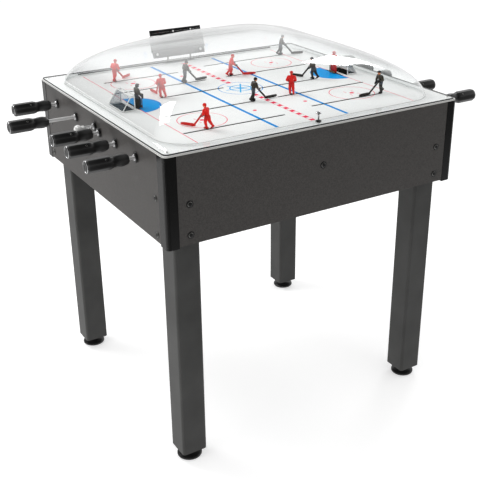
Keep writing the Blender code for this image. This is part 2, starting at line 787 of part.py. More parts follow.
def goalie_mesh(pitch):
    """Goalie facing +X on a foot plate, with a stem through the slot to the rack under the bed."""
    lift = ice + figure_lift - goalie_rod_level
    rack_line = pinion_pitch_radius
    rack_top = rack_line + pinion_dedendum + rack_back
    half_teeth = math.ceil((goalie_travel + rack_spare) / pitch)
    points = []
    for tooth in range(-half_teeth, half_teeth):
        centre = tooth * pitch + pitch / 2
        for offset_share, level in ((-pinion_root_share / 2, rack_line + pinion_dedendum),
                                    (-pinion_tip_share / 2, rack_line - pinion_addendum),
                                    (pinion_tip_share / 2, rack_line - pinion_addendum),
                                    (pinion_root_share / 2, rack_line + pinion_dedendum)):
            points.append((centre + offset_share * pitch, level))
    rack_half = half_teeth * pitch
    points = [(-rack_half, rack_line + pinion_dedendum)] + points
    points += [(rack_half, rack_line + pinion_dedendum), (rack_half, rack_top), (-rack_half, rack_top)]
    rack = loft("rack", [[(x, y, z) for y, z in points] for x in (-rack_width / 2, rack_width / 2)])
    half_stem = goalie_stem / 2
    stem_bottom = rack_top - rack_back / 2
    stem = box("stem", (-half_stem, -half_stem, stem_bottom), (half_stem, half_stem, lift + fit_gap))
    base = box("base", (-goalie_base_length / 2, -goalie_base_width / 2, lift),
               (goalie_base_length / 2, goalie_base_width / 2, lift + goalie_base_height))
    solids = [rack, stem, base]
    pad_bottom = lift + goalie_base_height / 2
    pad_top = lift + pad_height
    for side in (1, -1):
        inner = side * pad_gap / 2
        outer = side * (pad_gap / 2 + pad_width)
        low_y, high_y = sorted((inner, outer))
        solids.append(box("pad", (-pad_depth / 2, low_y, pad_bottom), (pad_depth / 2, high_y, pad_top)))
        shoulder = (0, side * goalie_chest_width * goalie_waist_share,
                    pad_top + goalie_chest_height * goalie_shoulder_share)
        hand = Vector((pad_depth, side * (goalie_chest_width + pad_gap), pad_top - goalie_blocker_size / 4))
        solids.append(limb("arm", shoulder, hand, goalie_arm_radius, goalie_arm_radius))
        reach = Vector((pad_depth / 3, goalie_blocker_size / 2, goalie_blocker_size / 2))
        solids.append(box("glove", hand - reach, hand + reach))
    chest_low = pad_top - goalie_chest_height / 4
    chest_high = pad_top + goalie_chest_height * goalie_chest_rise_share
    waist = (goalie_chest_depth * goalie_waist_share, goalie_chest_width * goalie_waist_share)
    chest = (goalie_chest_depth, goalie_chest_width)
    solids.append(limb("chest", (0, 0, chest_low), (0, 0, chest_high), waist, chest, 8))
    head = bmesh.new()
    head_centre = (pad_gap, 0, lift + goalie_height - goalie_head_radius)
    bmesh.ops.create_icosphere(head, subdivisions=1, radius=goalie_head_radius,
                               matrix=Matrix.Translation(head_centre))
    solids.append(mesh_from("head", head))
    solids.append(limb("neck", (0, 0, chest_high - neck_radius), head_centre, neck_radius, neck_radius))
    stick_y = -(goalie_chest_width + pad_gap)
    heel = (pad_depth, stick_y / 2, lift + blade_height / 2)
    hold = (pad_depth, stick_y, pad_top)
    solids.append(limb("stick", hold, heel, goalie_stick_radius, goalie_stick_radius))
    blade_front = pad_depth + blade_thickness / 2
    solids.append(box("stick_blade", (pad_depth - blade_thickness / 2, stick_y / 2 - stick_radius, lift),
                      (blade_front, stick_y / 2 + goalie_stick_length, lift + blade_height)))
    return joined("goalie", solids)


def add_goalies():
    """Each goalie slides along its goal line when its rod is turned."""
    pitch = math.tau * pinion_pitch_radius / pinion_teeth
    for team, end, teeth in (("dark", dark_end, dark_goalie_rest_teeth), ("red", red_end, 0)):
        place(f"{team}_goalie_rod", goalie_rod_mesh(), rod_steel, (-goal_line, 0, goalie_rod_level), end,
              round_piece=True)
        place(f"{team}_goalie", goalie_mesh(pitch), team_plastics[team],
              (-goal_line, teeth * pitch, goalie_rod_level), end)


def add_goals():
    """Goal of bent bars and thin sheets, open in front and underneath."""
    mouth = goal_mouth_share * table_length
    for team, end in (("dark", dark_end), ("red", red_end)):
        solids = []
        slope = [(0, 0), (goal_depth, 0), (goal_top_depth, goal_height), (0, goal_height)]
        for side in (1, -1):
            rings = [[(-x, y, z) for x, z in slope] for y in
                     (side * goal_half_width, side * (goal_half_width - goal_sheet))]
            solids.append(loft("side_sheet", rings))
            low_y, high_y = sorted((side * goal_half_width, side * (goal_half_width - goal_bar)))
            solids.append(box("post", (-goal_bar + overrun / 2, low_y - fit_gap, 0),
                              (overrun / 2, high_y + fit_gap, goal_height + fit_gap)))
        back = [(goal_depth, 0), (goal_top_depth, goal_height), (goal_top_depth - goal_sheet, goal_height),
                (goal_depth - goal_sheet, 0)]
        back_half = goal_half_width - fit_gap
        top_half = goal_half_width + fit_gap
        solids.append(loft("back_sheet", [[(-x, y, z) for x, z in back] for y in (-back_half, back_half)]))
        solids.append(box("top_sheet", (-goal_top_depth - fit_gap, -top_half, goal_height - goal_sheet),
                          (fit_gap, top_half, goal_height + fit_gap * 2)))
        place(f"{team}_goal", joined("goal", solids), goal_paint, (-mouth, 0, ice + fit_gap), end)


def add_scoreboard():
    """Counter case that leans back on a bracket behind the dome."""
    lean = Matrix.Rotation(-board_lean, 4, "X")
    foot = (0, half_width - board_setback, flange_top + board_rise)
    face_top = board_flange_height + board_face_height
    flange = box("flange", (-board_flange_width / 2, 0, 0),
                 (board_flange_width / 2, board_flange_thickness, board_flange_height + overrun))
    face = box("face", (-board_width / 2, 0, board_flange_height),
               (board_width / 2, board_case_depth, face_top))
    bar_inset = (board_case_depth - board_bar_depth) / 2
    bar = box("bar", (-board_bar_width / 2, bar_inset, face_top - overrun),
              (board_bar_width / 2, bar_inset + board_bar_depth, face_top + board_bar_height))
    eyes = []
    for side in (1, -1):
        eye = bore("eye", (0, 0), board_eye_radius, -overrun, board_flange_thickness + overrun, 8)
        turn = Matrix.Rotation(-math.pi / 2, 4, "X")
        centre = (side * (board_flange_width / 2 - board_eye_inset), 0, board_flange_height / 2)
        eyes.append(moved(eye, Matrix.Translation(centre) @ turn))
    case = cut("scoreboard_case", joined("case", [flange, face, bar]), eyes)
    place("scoreboard_case", moved(case, lean), board_plastic, foot)
    behind = board_flange_thickness + fit_gap
    strip_level = flange_top + fit_gap - foot[2]
    strip_front = behind / 2
    strip_back = strip_front + bracket_strip_width
    solids = [box("strip", (-bracket_strip_length / 2, strip_front, strip_level),
                  (bracket_strip_length / 2, strip_back, strip_level + bracket_strip_thickness))]
    for side in (1, -1):
        low_x = side * bracket_post_spread - bracket_post_size / 2
        high_x = low_x + bracket_post_size
        solids.append(box("post", (low_x, behind + bracket_post_size / 4, strip_level),
                          (high_x, behind + bracket_post_size * 5 / 4, bracket_post_size / 4)))
        clamp = box("clamp", (low_x - fit_gap, behind, -bracket_post_size / 2),
                    (high_x + fit_gap, behind + bracket_post_size, board_flange_height - overrun))
        solids.append(moved(clamp, lean))
    place("scoreboard_bracket", joined("bracket", solids), rod_steel, foot)


def add_puck_ejector():
    """Sprung mushroom knob on the near rim, with a stop washer under the bed."""
    under = bed_bottom - flange_top
    stop_bottom = under - ejector_tail / 2
    stop_top = under - fit_gap * 2
    head_bottom = ejector_height - ejector_head_height
    profile = [(under - ejector_tail, ejector_stem_radius), (stop_bottom, ejector_stem_radius),
               (stop_bottom, ejector_stop_radius), (stop_top, ejector_stop_radius),
               (stop_top, ejector_stem_radius), (head_bottom, ejector_stem_radius),
               (head_bottom, ejector_head_radius),
               (ejector_height - ejector_head_height / 2, ejector_head_radius),
               (ejector_height, ejector_head_radius / 2)]
    mesh = turned("puck_ejector", profile, 10)
    place("puck_ejector", mesh, rod_steel, (0, ejector_setback - half_width, flange_top), round_piece=True)


dark_end = add_end("dark_end", 0)
red_end = add_end("red_end", math.pi)
add_corner_posts()
add_panels()
add_bearing_rails()
add_bottom_panel()
add_legs()
add_rink_bed()
add_dome()
figure_shape = skater_figure()
add_skaters("dark", dark_end, figure_shape)
add_skaters("red", red_end, figure_shape)
add_goalies()
add_goals()
add_scoreboard()
add_puck_ejector()
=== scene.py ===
import json
import math

import bmesh
import bpy
from mathutils import Matrix, Vector


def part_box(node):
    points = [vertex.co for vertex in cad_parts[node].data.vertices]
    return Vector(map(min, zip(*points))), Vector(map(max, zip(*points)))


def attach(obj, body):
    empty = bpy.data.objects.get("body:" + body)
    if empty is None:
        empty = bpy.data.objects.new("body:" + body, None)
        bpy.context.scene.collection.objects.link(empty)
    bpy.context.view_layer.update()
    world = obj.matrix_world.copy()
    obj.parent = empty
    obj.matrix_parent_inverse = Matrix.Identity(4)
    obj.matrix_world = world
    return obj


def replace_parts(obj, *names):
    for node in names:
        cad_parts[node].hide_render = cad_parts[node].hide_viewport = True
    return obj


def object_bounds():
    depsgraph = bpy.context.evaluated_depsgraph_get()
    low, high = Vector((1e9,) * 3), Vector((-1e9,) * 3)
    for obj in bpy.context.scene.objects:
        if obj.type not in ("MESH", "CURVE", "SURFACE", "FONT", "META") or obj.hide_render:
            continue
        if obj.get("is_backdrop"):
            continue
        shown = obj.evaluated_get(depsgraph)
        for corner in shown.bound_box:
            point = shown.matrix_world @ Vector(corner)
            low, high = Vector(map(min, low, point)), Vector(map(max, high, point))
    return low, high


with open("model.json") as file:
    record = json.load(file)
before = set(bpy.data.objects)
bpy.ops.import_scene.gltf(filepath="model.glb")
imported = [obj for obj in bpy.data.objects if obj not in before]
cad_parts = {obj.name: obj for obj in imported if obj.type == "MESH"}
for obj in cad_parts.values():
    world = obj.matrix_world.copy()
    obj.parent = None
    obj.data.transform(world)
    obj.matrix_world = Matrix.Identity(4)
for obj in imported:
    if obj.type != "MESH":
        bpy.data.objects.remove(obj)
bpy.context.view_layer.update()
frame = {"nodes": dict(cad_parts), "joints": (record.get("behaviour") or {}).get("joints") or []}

nodes = frame["nodes"]


# Legs
# Square legs of fibreboard wrapped in charcoal foil, with eased edges; they stand inside the cabinet's
# corners and are held by bolts through the boards.

def paint(code):
    """Linear colour of an sRGB hex value."""
    shares = [int(code[place:place + 2], 16) / 255 for place in (1, 3, 5)]
    linear = [share / 12.92 if share <= 0.04045 else ((share + 0.055) / 1.055) ** 2.4 for share in shares]
    return (*linear, 1)


def add_node(tree, kind, sockets=None, **settings):
    """Add one node with its settings, and give its sockets values or links."""
    node = tree.nodes.new(kind)
    for name, value in settings.items():
        setattr(node, name, value)
    for name, value in (sockets or {}).items():
        socket = node.inputs[name]
        if isinstance(value, bpy.types.NodeSocket):
            tree.links.new(value, socket)
        else:
            socket.default_value = value
    return node


def start_finish(name, **sockets):
    """New material with its main shader and an output."""
    material = bpy.data.materials.new(name)
    material.use_nodes = True
    tree = material.node_tree
    tree.nodes.clear()
    output = add_node(tree, "ShaderNodeOutputMaterial")
    named = {key.replace("_", " "): value for key, value in sockets.items()}
    shader = add_node(tree, "ShaderNodeBsdfPrincipled", named)
    tree.links.new(shader.outputs[0], output.inputs["Surface"])
    return material, tree, shader


def grain(tree, scale, detail=3, stretch=(1, 1, 1)):
    """Noise over a piece; its cells measure about one metre over the scale."""
    place = add_node(tree, "ShaderNodeTexCoord").outputs["Object"]
    drawn = add_node(tree, "ShaderNodeMapping", {"Vector": place, "Scale": stretch})
    cells = {"Vector": drawn.outputs["Vector"], "Scale": scale, "Detail": detail}
    return add_node(tree, "ShaderNodeTexNoise", cells).outputs["Fac"]


def shaded(tree, shader, pattern, dark_code, light_code, dark_end=0.3, light_end=0.7):
    """Let a pattern carry the base colour from one shade to another."""
    shade = add_node(tree, "ShaderNodeValToRGB", {"Fac": pattern})
    ends = ((dark_code, dark_end), (light_code, light_end))
    for element, (code, position) in zip(shade.color_ramp.elements, ends):
        element.color = paint(code)
        element.position = position
    tree.links.new(shade.outputs["Color"], shader.inputs["Base Color"])


def bumped(tree, shader, pattern, strength, depth=0.0003):
    """Let a pattern stand out from the surface by a depth in metres."""
    relief = add_node(tree, "ShaderNodeBump", {"Height": pattern, "Strength": strength, "Distance": depth})
    tree.links.new(relief.outputs["Normal"], shader.inputs["Normal"])


def polished(tree, shader, pattern, least, most):
    """Let a pattern vary the roughness."""
    span = add_node(tree, "ShaderNodeMapRange", {"Value": pattern, "To Min": least, "To Max": most})
    tree.links.new(span.outputs["Result"], shader.inputs["Roughness"])


# Foil: a fine print relief about 1.5 mm across, and faint cloudy changes of shade
leg_finish, tree, shader = start_finish("charcoal_foil_wrap", Roughness=0.42, Specular_IOR_Level=0.3)
shaded(tree, shader, grain(tree, 9, 4), "#313130", "#3c3c3b")
bumped(tree, shader, grain(tree, 650), 0.12, 0.0004)

corner_names = ["near_left", "near_right", "far_left", "far_right"]
for corner in corner_names:
    leg = nodes[f"leg_{corner}"]
    leg.data.materials.clear()
    leg.data.materials.append(leg_finish)


# Cabinet boards
# Boards of MDF faced with a charcoal vinyl foil that has a slightly mottled leather print; their edges are
# eased a little, and a thin sheet closes the bottom.

# Vinyl foil: pores 2.4 mm apart in a speckled print of 3 mm patches, drawn coarse to show, with a dull shine
board_finish, tree, shader = start_finish("charcoal_vinyl_foil", Roughness=0.44, Specular_IOR_Level=0.3)
shaded(tree, shader, grain(tree, 330, 2), "#353332", "#444240", 0.3, 0.72)
bumped(tree, shader, grain(tree, 420), 0.15, 0.0004)


def ease_edges(piece, width):
    """Round a carried-over piece's sharp edges, as a router or a mould leaves them."""
    bevel = piece.modifiers.new("eased_edges", "BEVEL")
    bevel.width = width
    bevel.segments = 2
    bevel.limit_method = "ANGLE"
    bevel.angle_limit = math.radians(40)


def finish_nodes(names, finish, edge=0.0):
    """Give carried-over pieces their finish and eased edges."""
    for name in names:
        piece = nodes[name]
        piece.data.materials.clear()
        piece.data.materials.append(finish)
        if edge:
            ease_edges(piece, edge)


board_edge = 0.0008
boards = ["side_panel_near", "side_panel_far", "end_panel_left", "end_panel_right", "bottom_panel"]
finish_nodes(boards, board_finish, board_edge)


# Corner posts
# Extruded plastic corner posts, a shade darker and glossier than the boards, with a rounded outer corner.

# Extruded plastic: near black and glossy, with drawing lines from the die under a millimetre apart
post_finish, tree, shader = start_finish("extruded_black_abs", Roughness=0.24, Specular_IOR_Level=0.4)
lines = grain(tree, 1, 2, (900, 900, 8))
shaded(tree, shader, lines, "#0a0a0a", "#0f0f0f", 0.0, 1.0)
bumped(tree, shader, lines, 0.08)
post_edge = 0.0005
finish_nodes([f"corner_post_{corner}" for corner in corner_names], post_finish, post_edge)


# Levelling feet
# Black moulded disc on a threaded stem with a hexagonal nut, screwed into the leg.

# Nylon: black with a fine moulded skin; zinc: grey metal with a cloudy bloom
foot_finish, tree, shader = start_finish("black_nylon", Base_Color=paint("#161616"), Roughness=0.38)
bumped(tree, shader, grain(tree, 700, 2), 0.1)
zinc_finish, tree, shader = start_finish("zinc_plated_steel", Base_Color=paint("#a9a9a6"), Metallic=1.0)
polished(tree, shader, grain(tree, 160, 4), 0.22, 0.42)


def ring_points(radius, sides, level):
    """Points round a level circle."""
    turns = [math.tau * (index / sides) for index in range(sides)]
    return [(radius * math.cos(turn), radius * math.sin(turn), level) for turn in turns]


def skinned(shape, rings, closed=True):
    """Skin a run of rings that have equally many points; a closed run ends in flat faces."""
    loops = [[shape.verts.new(point) for point in ring] for ring in rings]
    for lower, upper in zip(loops, loops[1:]):
        for index in range(len(lower)):
            after = (index + 1) % len(lower)
            shape.faces.new((lower[index], lower[after], upper[after], upper[index]))
    if closed:
        shape.faces.new(list(reversed(loops[0])))
        shape.faces.new(loops[-1])
    return [vert for loop in loops for vert in loop]


def turned(shape, profile, sides=40, matrix=None):
    """Turned form about Z from (radius, level) pairs, from the bottom up, put in place by a matrix."""
    verts = skinned(shape, [ring_points(radius, sides, level) for radius, level in profile])
    if matrix:
        bmesh.ops.transform(shape, matrix=matrix, verts=verts)


def add_piece(name, shape, finish, body, place=(0, 0, 0), smooth=True):
    """Make a piece from a shape and let it ride on a body."""
    bmesh.ops.recalc_face_normals(shape, faces=shape.faces)
    mesh = bpy.data.meshes.new(name)
    shape.to_mesh(mesh)
    shape.free()
    finishes = finish if isinstance(finish, list) else [finish]
    for one in finishes:
        mesh.materials.append(one)
    if smooth:
        mesh.shade_smooth()
        mesh.set_sharp_from_angle(angle=math.radians(38))
    piece = bpy.data.objects.new(name, mesh)
    piece.location = place
    bpy.context.collection.objects.link(piece)
    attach(piece, body)
    return piece


foot_disc = 0.038
foot_nut = 0.0125
foot_stem = 0.005
thread_turns = 26
thread_depth = 0.0005
thread_half_pitch = 0.0007
thread_start = 0.0239
disc_profile = [(0.0295, 0), (0.031, 0.0006), (0.0368, 0.0035), (foot_disc, 0.0055), (foot_disc, 0.0095),
                (0.0372, 0.0108), (0.033, 0.0128), (0.0245, 0.0138), (0.0165, 0.0141), (0.0155, 0.0148)]
nut_profile = [(foot_nut * 0.9, 0.0149), (foot_nut, 0.0158), (foot_nut, 0.0228), (foot_nut * 0.9, 0.0238)]
stem_profile = [(foot_stem * 0.8, 0.0145)] + [
    (foot_stem - thread_depth * (step % 2), thread_start + thread_half_pitch * step)
    for step in range(2 * thread_turns)]
for corner in corner_names:
    low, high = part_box(f"levelling_foot_{corner}")
    middle = ((low[0] + high[0]) / 2, (low[1] + high[1]) / 2, low[2])
    shape = bmesh.new()
    turned(shape, disc_profile, 56)
    add_piece(f"foot_disc_{corner}", shape, foot_finish, f"foot_{corner}", middle)
    shape = bmesh.new()
    turned(shape, nut_profile, 6)
    turned(shape, stem_profile, 20)
    nut = add_piece(f"foot_nut_{corner}", shape, zinc_finish, f"foot_{corner}", middle)
    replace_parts(nut, f"levelling_foot_{corner}")


# Rink bed
# White satin plastic sheet that stands for the ice, printed with the rink's lines; slots and puck pockets are
# cut through it, its cut walls and underside carry painted shade, and a grey edge band is glued round it.

# Printed sheet: satin white with the rink's marks; little of the room shows in it
ice_finish, tree, shader = start_finish("printed_ice_sheet", Roughness=0.3, Specular_IOR_Level=0.01)
place_in_room = add_node(tree, "ShaderNodeTexCoord")
split = add_node(tree, "ShaderNodeSeparateXYZ", {"Vector": place_in_room.outputs["Object"]})


def sum_node(operation, first, second=0.0, third=0.0):
    """Result of one sum on sockets or numbers."""
    return add_node(tree, "ShaderNodeMath", {0: first, 1: second, 2: third}, operation=operation).outputs[0]


along = sum_node("ABSOLUTE", split.outputs["X"])
across = sum_node("ABSOLUTE", split.outputs["Y"])


def near(value, centre, reach):
    """One where a value lies within reach of a centre."""
    return sum_node("COMPARE", value, centre, reach)


def both(first, second):
    """One where two masks meet."""
    return sum_node("MULTIPLY", first, second)


def any_of(masks):
    """One where any mask is."""
    result = masks[0]
    for mask in masks[1:]:
        result = sum_node("MAXIMUM", result, mask)
    return result


def distance_from(centre_x, centre_y):
    """Distance from a mark's centre, the same in all four quarters of the rink."""
    from_x = sum_node("SUBTRACT", along, centre_x)
    from_y = sum_node("SUBTRACT", across, centre_y)
    return sum_node("SQRT", sum_node("MULTIPLY_ADD", from_x, from_x, sum_node("MULTIPLY", from_y, from_y)))


# Places of the marks along and across from the rink's middle; the reach of a mask is half its line's width
goal_line = 0.3726
blue_line = 0.1216
line_half_length = 0.405
circle_radius = 0.0715
circle_inside = 0.07
spot_along = 0.267
spot_across = 0.2347
dot_along = 0.09
dot_across = 0.2335
crease_radius = 0.083
crease_edge_radius = 0.0805
crystal_radius = 0.052
crystal_ring = 0.034
check_pitch = 0.034
line_end = sum_node("LESS_THAN", across, line_half_length)
middle_distance = distance_from(0, 0)
outside_circle = sum_node("GREATER_THAN", middle_distance, circle_inside)
spot_distance = distance_from(spot_along, spot_across)
dot_distance = distance_from(dot_along, dot_across)
crease_distance = distance_from(goal_line, 0)
in_front = sum_node("LESS_THAN", along, goal_line)
blue_bar = both(near(along, blue_line, 0.0052), line_end)
blue_marks = any_of([blue_bar, near(middle_distance, circle_radius, 0.0014)])
# A plain six-armed snow crystal fills the middle of the rink
turn = sum_node("ARCTAN2", split.outputs["Y"], split.outputs["X"])
arms = sum_node("ABSOLUTE", sum_node("SINE", sum_node("MULTIPLY", turn, 3.0)))
arm_width = sum_node("MULTIPLY", arms, middle_distance)
crystal_arms = sum_node("LESS_THAN", arm_width, 0.0075)
crystal = both(crystal_arms, sum_node("LESS_THAN", middle_distance, crystal_radius))
ring_marks = near(middle_distance, crystal_ring, 0.0022)
crystal_marks = any_of([crystal, both(ring_marks, sum_node("LESS_THAN", middle_distance, crystal_radius))])
check_share = sum_node("FRACT", sum_node("DIVIDE", split.outputs["Y"], check_pitch))
checks = both(sum_node("LESS_THAN", check_share, 0.5), sum_node("LESS_THAN", along, 0.0066))
centre_line = both(both(any_of([checks, near(along, 0.0072, 0.0007)]), outside_circle), line_end)
goal_mark = both(near(along, goal_line, 0.0012), sum_node("LESS_THAN", across, line_half_length))
spot_circle = near(spot_distance, circle_radius, 0.0011)
spot_rings = any_of([spot_circle, sum_node("LESS_THAN", spot_distance, 0.0075)])
from_spot = sum_node("ABSOLUTE", sum_node("SUBTRACT", along, spot_along))
beside_spot = both(near(along, spot_along, 0.0155), near(from_spot, 0.0145, 0.001))
spot_side = sum_node("ABSOLUTE", sum_node("SUBTRACT", across, spot_across))
spot_ticks = both(beside_spot, near(spot_side, 0.017, 0.0075))
dots = sum_node("LESS_THAN", dot_distance, 0.0062)
red_marks = any_of([centre_line, goal_mark, spot_rings, spot_ticks, dots])
crease = both(sum_node("LESS_THAN", crease_distance, crease_radius), in_front)
crease_edge = both(near(crease_distance, crease_edge_radius, 0.0026), in_front)
# Painted shade: everything below the top face, the walls of the slots and pockets and the underside, is near
# black
below = sum_node("LESS_THAN", split.outputs["Z"], float(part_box("dome")[0][2]) - 0.0012)
ice_shade = add_node(tree, "ShaderNodeValToRGB", {"Fac": grain(tree, 14, 5)})
ice_shade.color_ramp.elements[0].color = paint("#e3e4e3")
ice_shade.color_ramp.elements[1].color = paint("#eeeeed")
colour = ice_shade.outputs["Color"]
mark_paints = ((crease, "#0a9ae4"), (crease_edge, "#0082d2"), (blue_marks, "#0089d4"),
               (crystal_marks, "#35a8e0"), (red_marks, "#e62a52"), (below, "#1b1b1b"))
for mask, code in mark_paints:
    mix = add_node(tree, "ShaderNodeMix", {0: mask, 6: colour, 7: paint(code)}, data_type="RGBA")
    colour = mix.outputs[2]
tree.links.new(colour, shader.inputs["Base Color"])
polished(tree, shader, grain(tree, 60, 4), 0.24, 0.4)
finish_nodes(["rink_bed"], ice_finish)

# Edge band: matt grey PVC with light scuffs
band_finish, tree, shader = start_finish("grey_pvc_edge", Base_Color=paint("#a9a9a6"))
polished(tree, shader, grain(tree, 60, 4), 0.32, 0.5)


def rounded_outline(half_x, half_y, radius, steps):
    """Points round a rectangle with round corners, anticlockwise."""
    points = []
    for corner, (sign_x, sign_y) in enumerate(((1, 1), (-1, 1), (-1, -1), (1, -1))):
        for step in range(steps + 1):
            turn = math.pi / 2 * (corner + step / steps)
            points.append((sign_x * (half_x - radius) + radius * math.cos(turn),
                           sign_y * (half_y - radius) + radius * math.sin(turn)))
    return points


def add_band(name, outline, section, steps, finish):
    """Band round a rectangle with round corners, from its section of (outward, level) pairs."""
    half_x, half_y, radius = outline
    shape = bmesh.new()
    loops = [[(x, y, level) for x, y in rounded_outline(half_x + out, half_y + out, radius + out, steps)]
             for out, level in section]
    skinned(shape, loops + [loops[0]], closed=False)
    bmesh.ops.remove_doubles(shape, verts=shape.verts, dist=1e-6)
    add_piece(name, shape, finish, "cabinet")


bed_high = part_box("rink_bed")[1]
bed_corner = 0.012
band_bottom = bed_high[2] - 0.0047
band_top = bed_high[2] - 0.0001
band_inside = 0.0001
band_outside = 0.0009
band_section = ((band_inside, band_bottom), (band_outside - 0.0002, band_bottom),
                (band_outside, band_bottom + 0.0003), (band_outside, band_top - 0.0005),
                (band_outside - 0.0002, band_top), (band_inside, band_top))
add_band("bed_edge_band", (bed_high[0], bed_high[1], bed_corner), band_section, 10, band_finish)


# Bushings and carriages
# Black nylon: a bearing rail behind each end board, whose bushings show as thick discs with a small bright
# washer, and the brackets that slide along under the slots.

# Nylon: black, with the faint skin of its mould
nylon_finish, tree, shader = start_finish("moulded_black_nylon", Base_Color=paint("#101010"), Roughness=0.36)
bumped(tree, shader, grain(tree, 800, 2), 0.12)
lines_of_play = ["left_wing", "left_defence", "centre", "right_defence", "right_wing"]
teams = {"dark": 1, "red": -1}
finish_nodes(["bearing_rail_left", "bearing_rail_right"], nylon_finish)
for team in teams:
    finish_nodes([f"{team}_{line}_carriage" for line in lines_of_play], nylon_finish)

# Chrome: bright mirror with faint wipe marks
chrome_finish, tree, shader = start_finish("polished_chrome", Base_Color=paint("#dededf"), Metallic=1.0)
polished(tree, shader, grain(tree, 90, 5), 0.05, 0.16)


def middle_of(name):
    """Middle of a carried-over piece's box."""
    low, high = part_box(name)
    return (Vector(low) + Vector(high)) / 2


def rod_end(team, name):
    """Place where a rod passes the face of its end board."""
    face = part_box("end_panel_left")[0][0] if team == "dark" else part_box("end_panel_right")[1][0]
    centre = middle_of(name)
    return Vector((face, centre.y, centre.z))


def turned_ring(shape, profile, sides=48, matrix=None):
    """Turned form with a hole: its closed profile of (radius, level) pairs runs round the section."""
    loops = [ring_points(radius, sides, level) for radius, level in profile]
    verts = skinned(shape, loops + [loops[0]], closed=False)
    bmesh.ops.transform(shape, matrix=matrix or Matrix.Identity(4), verts=verts)
    bmesh.ops.remove_doubles(shape, verts=verts, dist=1e-6)


# A matrix that turns a form's Z to the outside of each team's end
outward = {"dark": Matrix.Rotation(-math.pi / 2, 4, "Y"), "red": Matrix.Rotation(math.pi / 2, 4, "Y")}
bushing_section = [(0.0060, 0.0002), (0.0150, 0.0002), (0.0154, 0.0010), (0.0150, 0.0018), (0.0146, 0.0020),
                   (0.0146, 0.0044), (0.0142, 0.0052), (0.0134, 0.0056), (0.0108, 0.0057), (0.0100, 0.0052),
                   (0.0060, 0.0052)]
washer_section = [(0.0058, 0.0053), (0.0090, 0.0053), (0.0092, 0.0058), (0.0090, 0.0063), (0.0085, 0.0065),
                  (0.0062, 0.0065), (0.0058, 0.0062)]
for team in teams:
    discs = bmesh.new()
    washers = bmesh.new()
    for name in [f"{team}_{line}_rod" for line in lines_of_play] + [f"{team}_goalie_rod"]:
        matrix = Matrix.Translation(rod_end(team, name)) @ outward[team]
        turned_ring(discs, bushing_section, 48, matrix)
        turned_ring(washers, washer_section, 48, matrix)
    add_piece(f"{team}_bushing_discs", discs, nylon_finish, "cabinet")
    add_piece(f"{team}_bushing_washers", washers, chrome_finish, "cabinet")


# Rods and grips
# Polished steel rods, each with a black moulded grip: an octagonal barrel, a round waist and bulb, a bright
# ring round its end and a sunk screw that holds it on the rod. The goalies' rods end in light ball knobs.

# Steel: bright, with scratches along the rod; grip: black with fine pores, its edges paler as a painted
# highlight;
# ball: light grey and glossy
rod_finish, tree, shader = start_finish("polished_steel_rod", Base_Color=paint("#f0f0f0"), Metallic=0.55)
polished(tree, shader, grain(tree, 1, 3, (60, 900, 900)), 0.08, 0.22)
grip_finish, tree, shader = start_finish("black_moulded_grip")
# Painted highlight: where the grip is sharply convex, along its edges, its colour is made paler
painted_edge_highlight = add_node(tree, "ShaderNodeNewGeometry").outputs["Pointiness"]
shaded(tree, shader, painted_edge_highlight, "#141414", "#4e4e4e", 0.505, 0.57)
pores = grain(tree, 520)
polished(tree, shader, pores, 0.24, 0.4)
bumped(tree, shader, pores, 0.1)
ball_finish, tree, shader = start_finish("light_grey_ball_plastic", Base_Color=paint("#d6d6d4"))
polished(tree, shader, grain(tree, 300), 0.14, 0.26)

grip_length = 0.12
grip_sides = 8
grip_skin_share = 1.005
# Share of the grip's length from its tip, its radius at the corners in millimetres, and how round it is there
grip_stations = [(0.0, 17.2, 0), (0.008, 18.2, 0), (0.033, 19.75, 0), (0.06, 19.9, 0), (0.3, 19.9, 0),
                 (0.5, 19.9, 0), (0.54, 19.8, 0), (0.565, 19.0, 0.2), (0.59, 17.9, 0.6), (0.615, 16.6, 0.9),
                 (0.64, 15.9, 1), (0.67, 15.8, 1), (0.71, 16.2, 1), (0.76, 17.0, 1), (0.82, 17.6, 1),
                 (0.87, 17.2, 1), (0.92, 16.1, 1), (0.96, 14.6, 1), (0.985, 13.4, 1), (1.0, 12.3, 1)]
cap_profile = ((0.0158, 0.0002), (0.0152, 0.0004), (0.0086, 0.0004), (0.0080, 0.0008), (0.0070, 0.0008),
               (0.0064, 0.0003), (0.0020, 0.0003))
ring_section = [(0.0152, 0.0002), (0.0170, -0.0006), (0.0173, -0.0003), (0.0171, 0.0004), (0.0164, 0.0008),
                (0.0154, 0.0007)]
screw_section = [(0.0017, 0.0), (0.0029, 0.0), (0.0029, 0.0006), (0.0026, 0.0009), (0.0021, 0.0009),
                 (0.0018, 0.0006)]
screw_depth = 0.0182
screw_share = 0.45
rod_bore = 0.00501
rod_radius = 0.0052
collar_reach = 0.0215
ball_radius = 0.0119


def grip_ring(corner_radius, level, roundness):
    """One section of a grip, between an octagon with softened corners and a circle."""
    points = []
    flat = corner_radius * math.cos(math.pi / grip_sides)
    for side in range(grip_sides):
        for offset_degrees in (-22.5, -20.5, -14, 0, 14, 20.5):
            turn = math.tau * side / grip_sides + math.radians(offset_degrees)
            sharp = min(flat / math.cos(math.radians(offset_degrees)), corner_radius * 0.988)
            reach = sharp + (corner_radius - sharp) * roundness
            points.append((reach * math.cos(turn), reach * math.sin(turn), level))
    return points


def joint_place(name):
    """Place of a joint's axis."""
    return next(joint for joint in frame["joints"] if joint["name"] == name)["pos_m"]


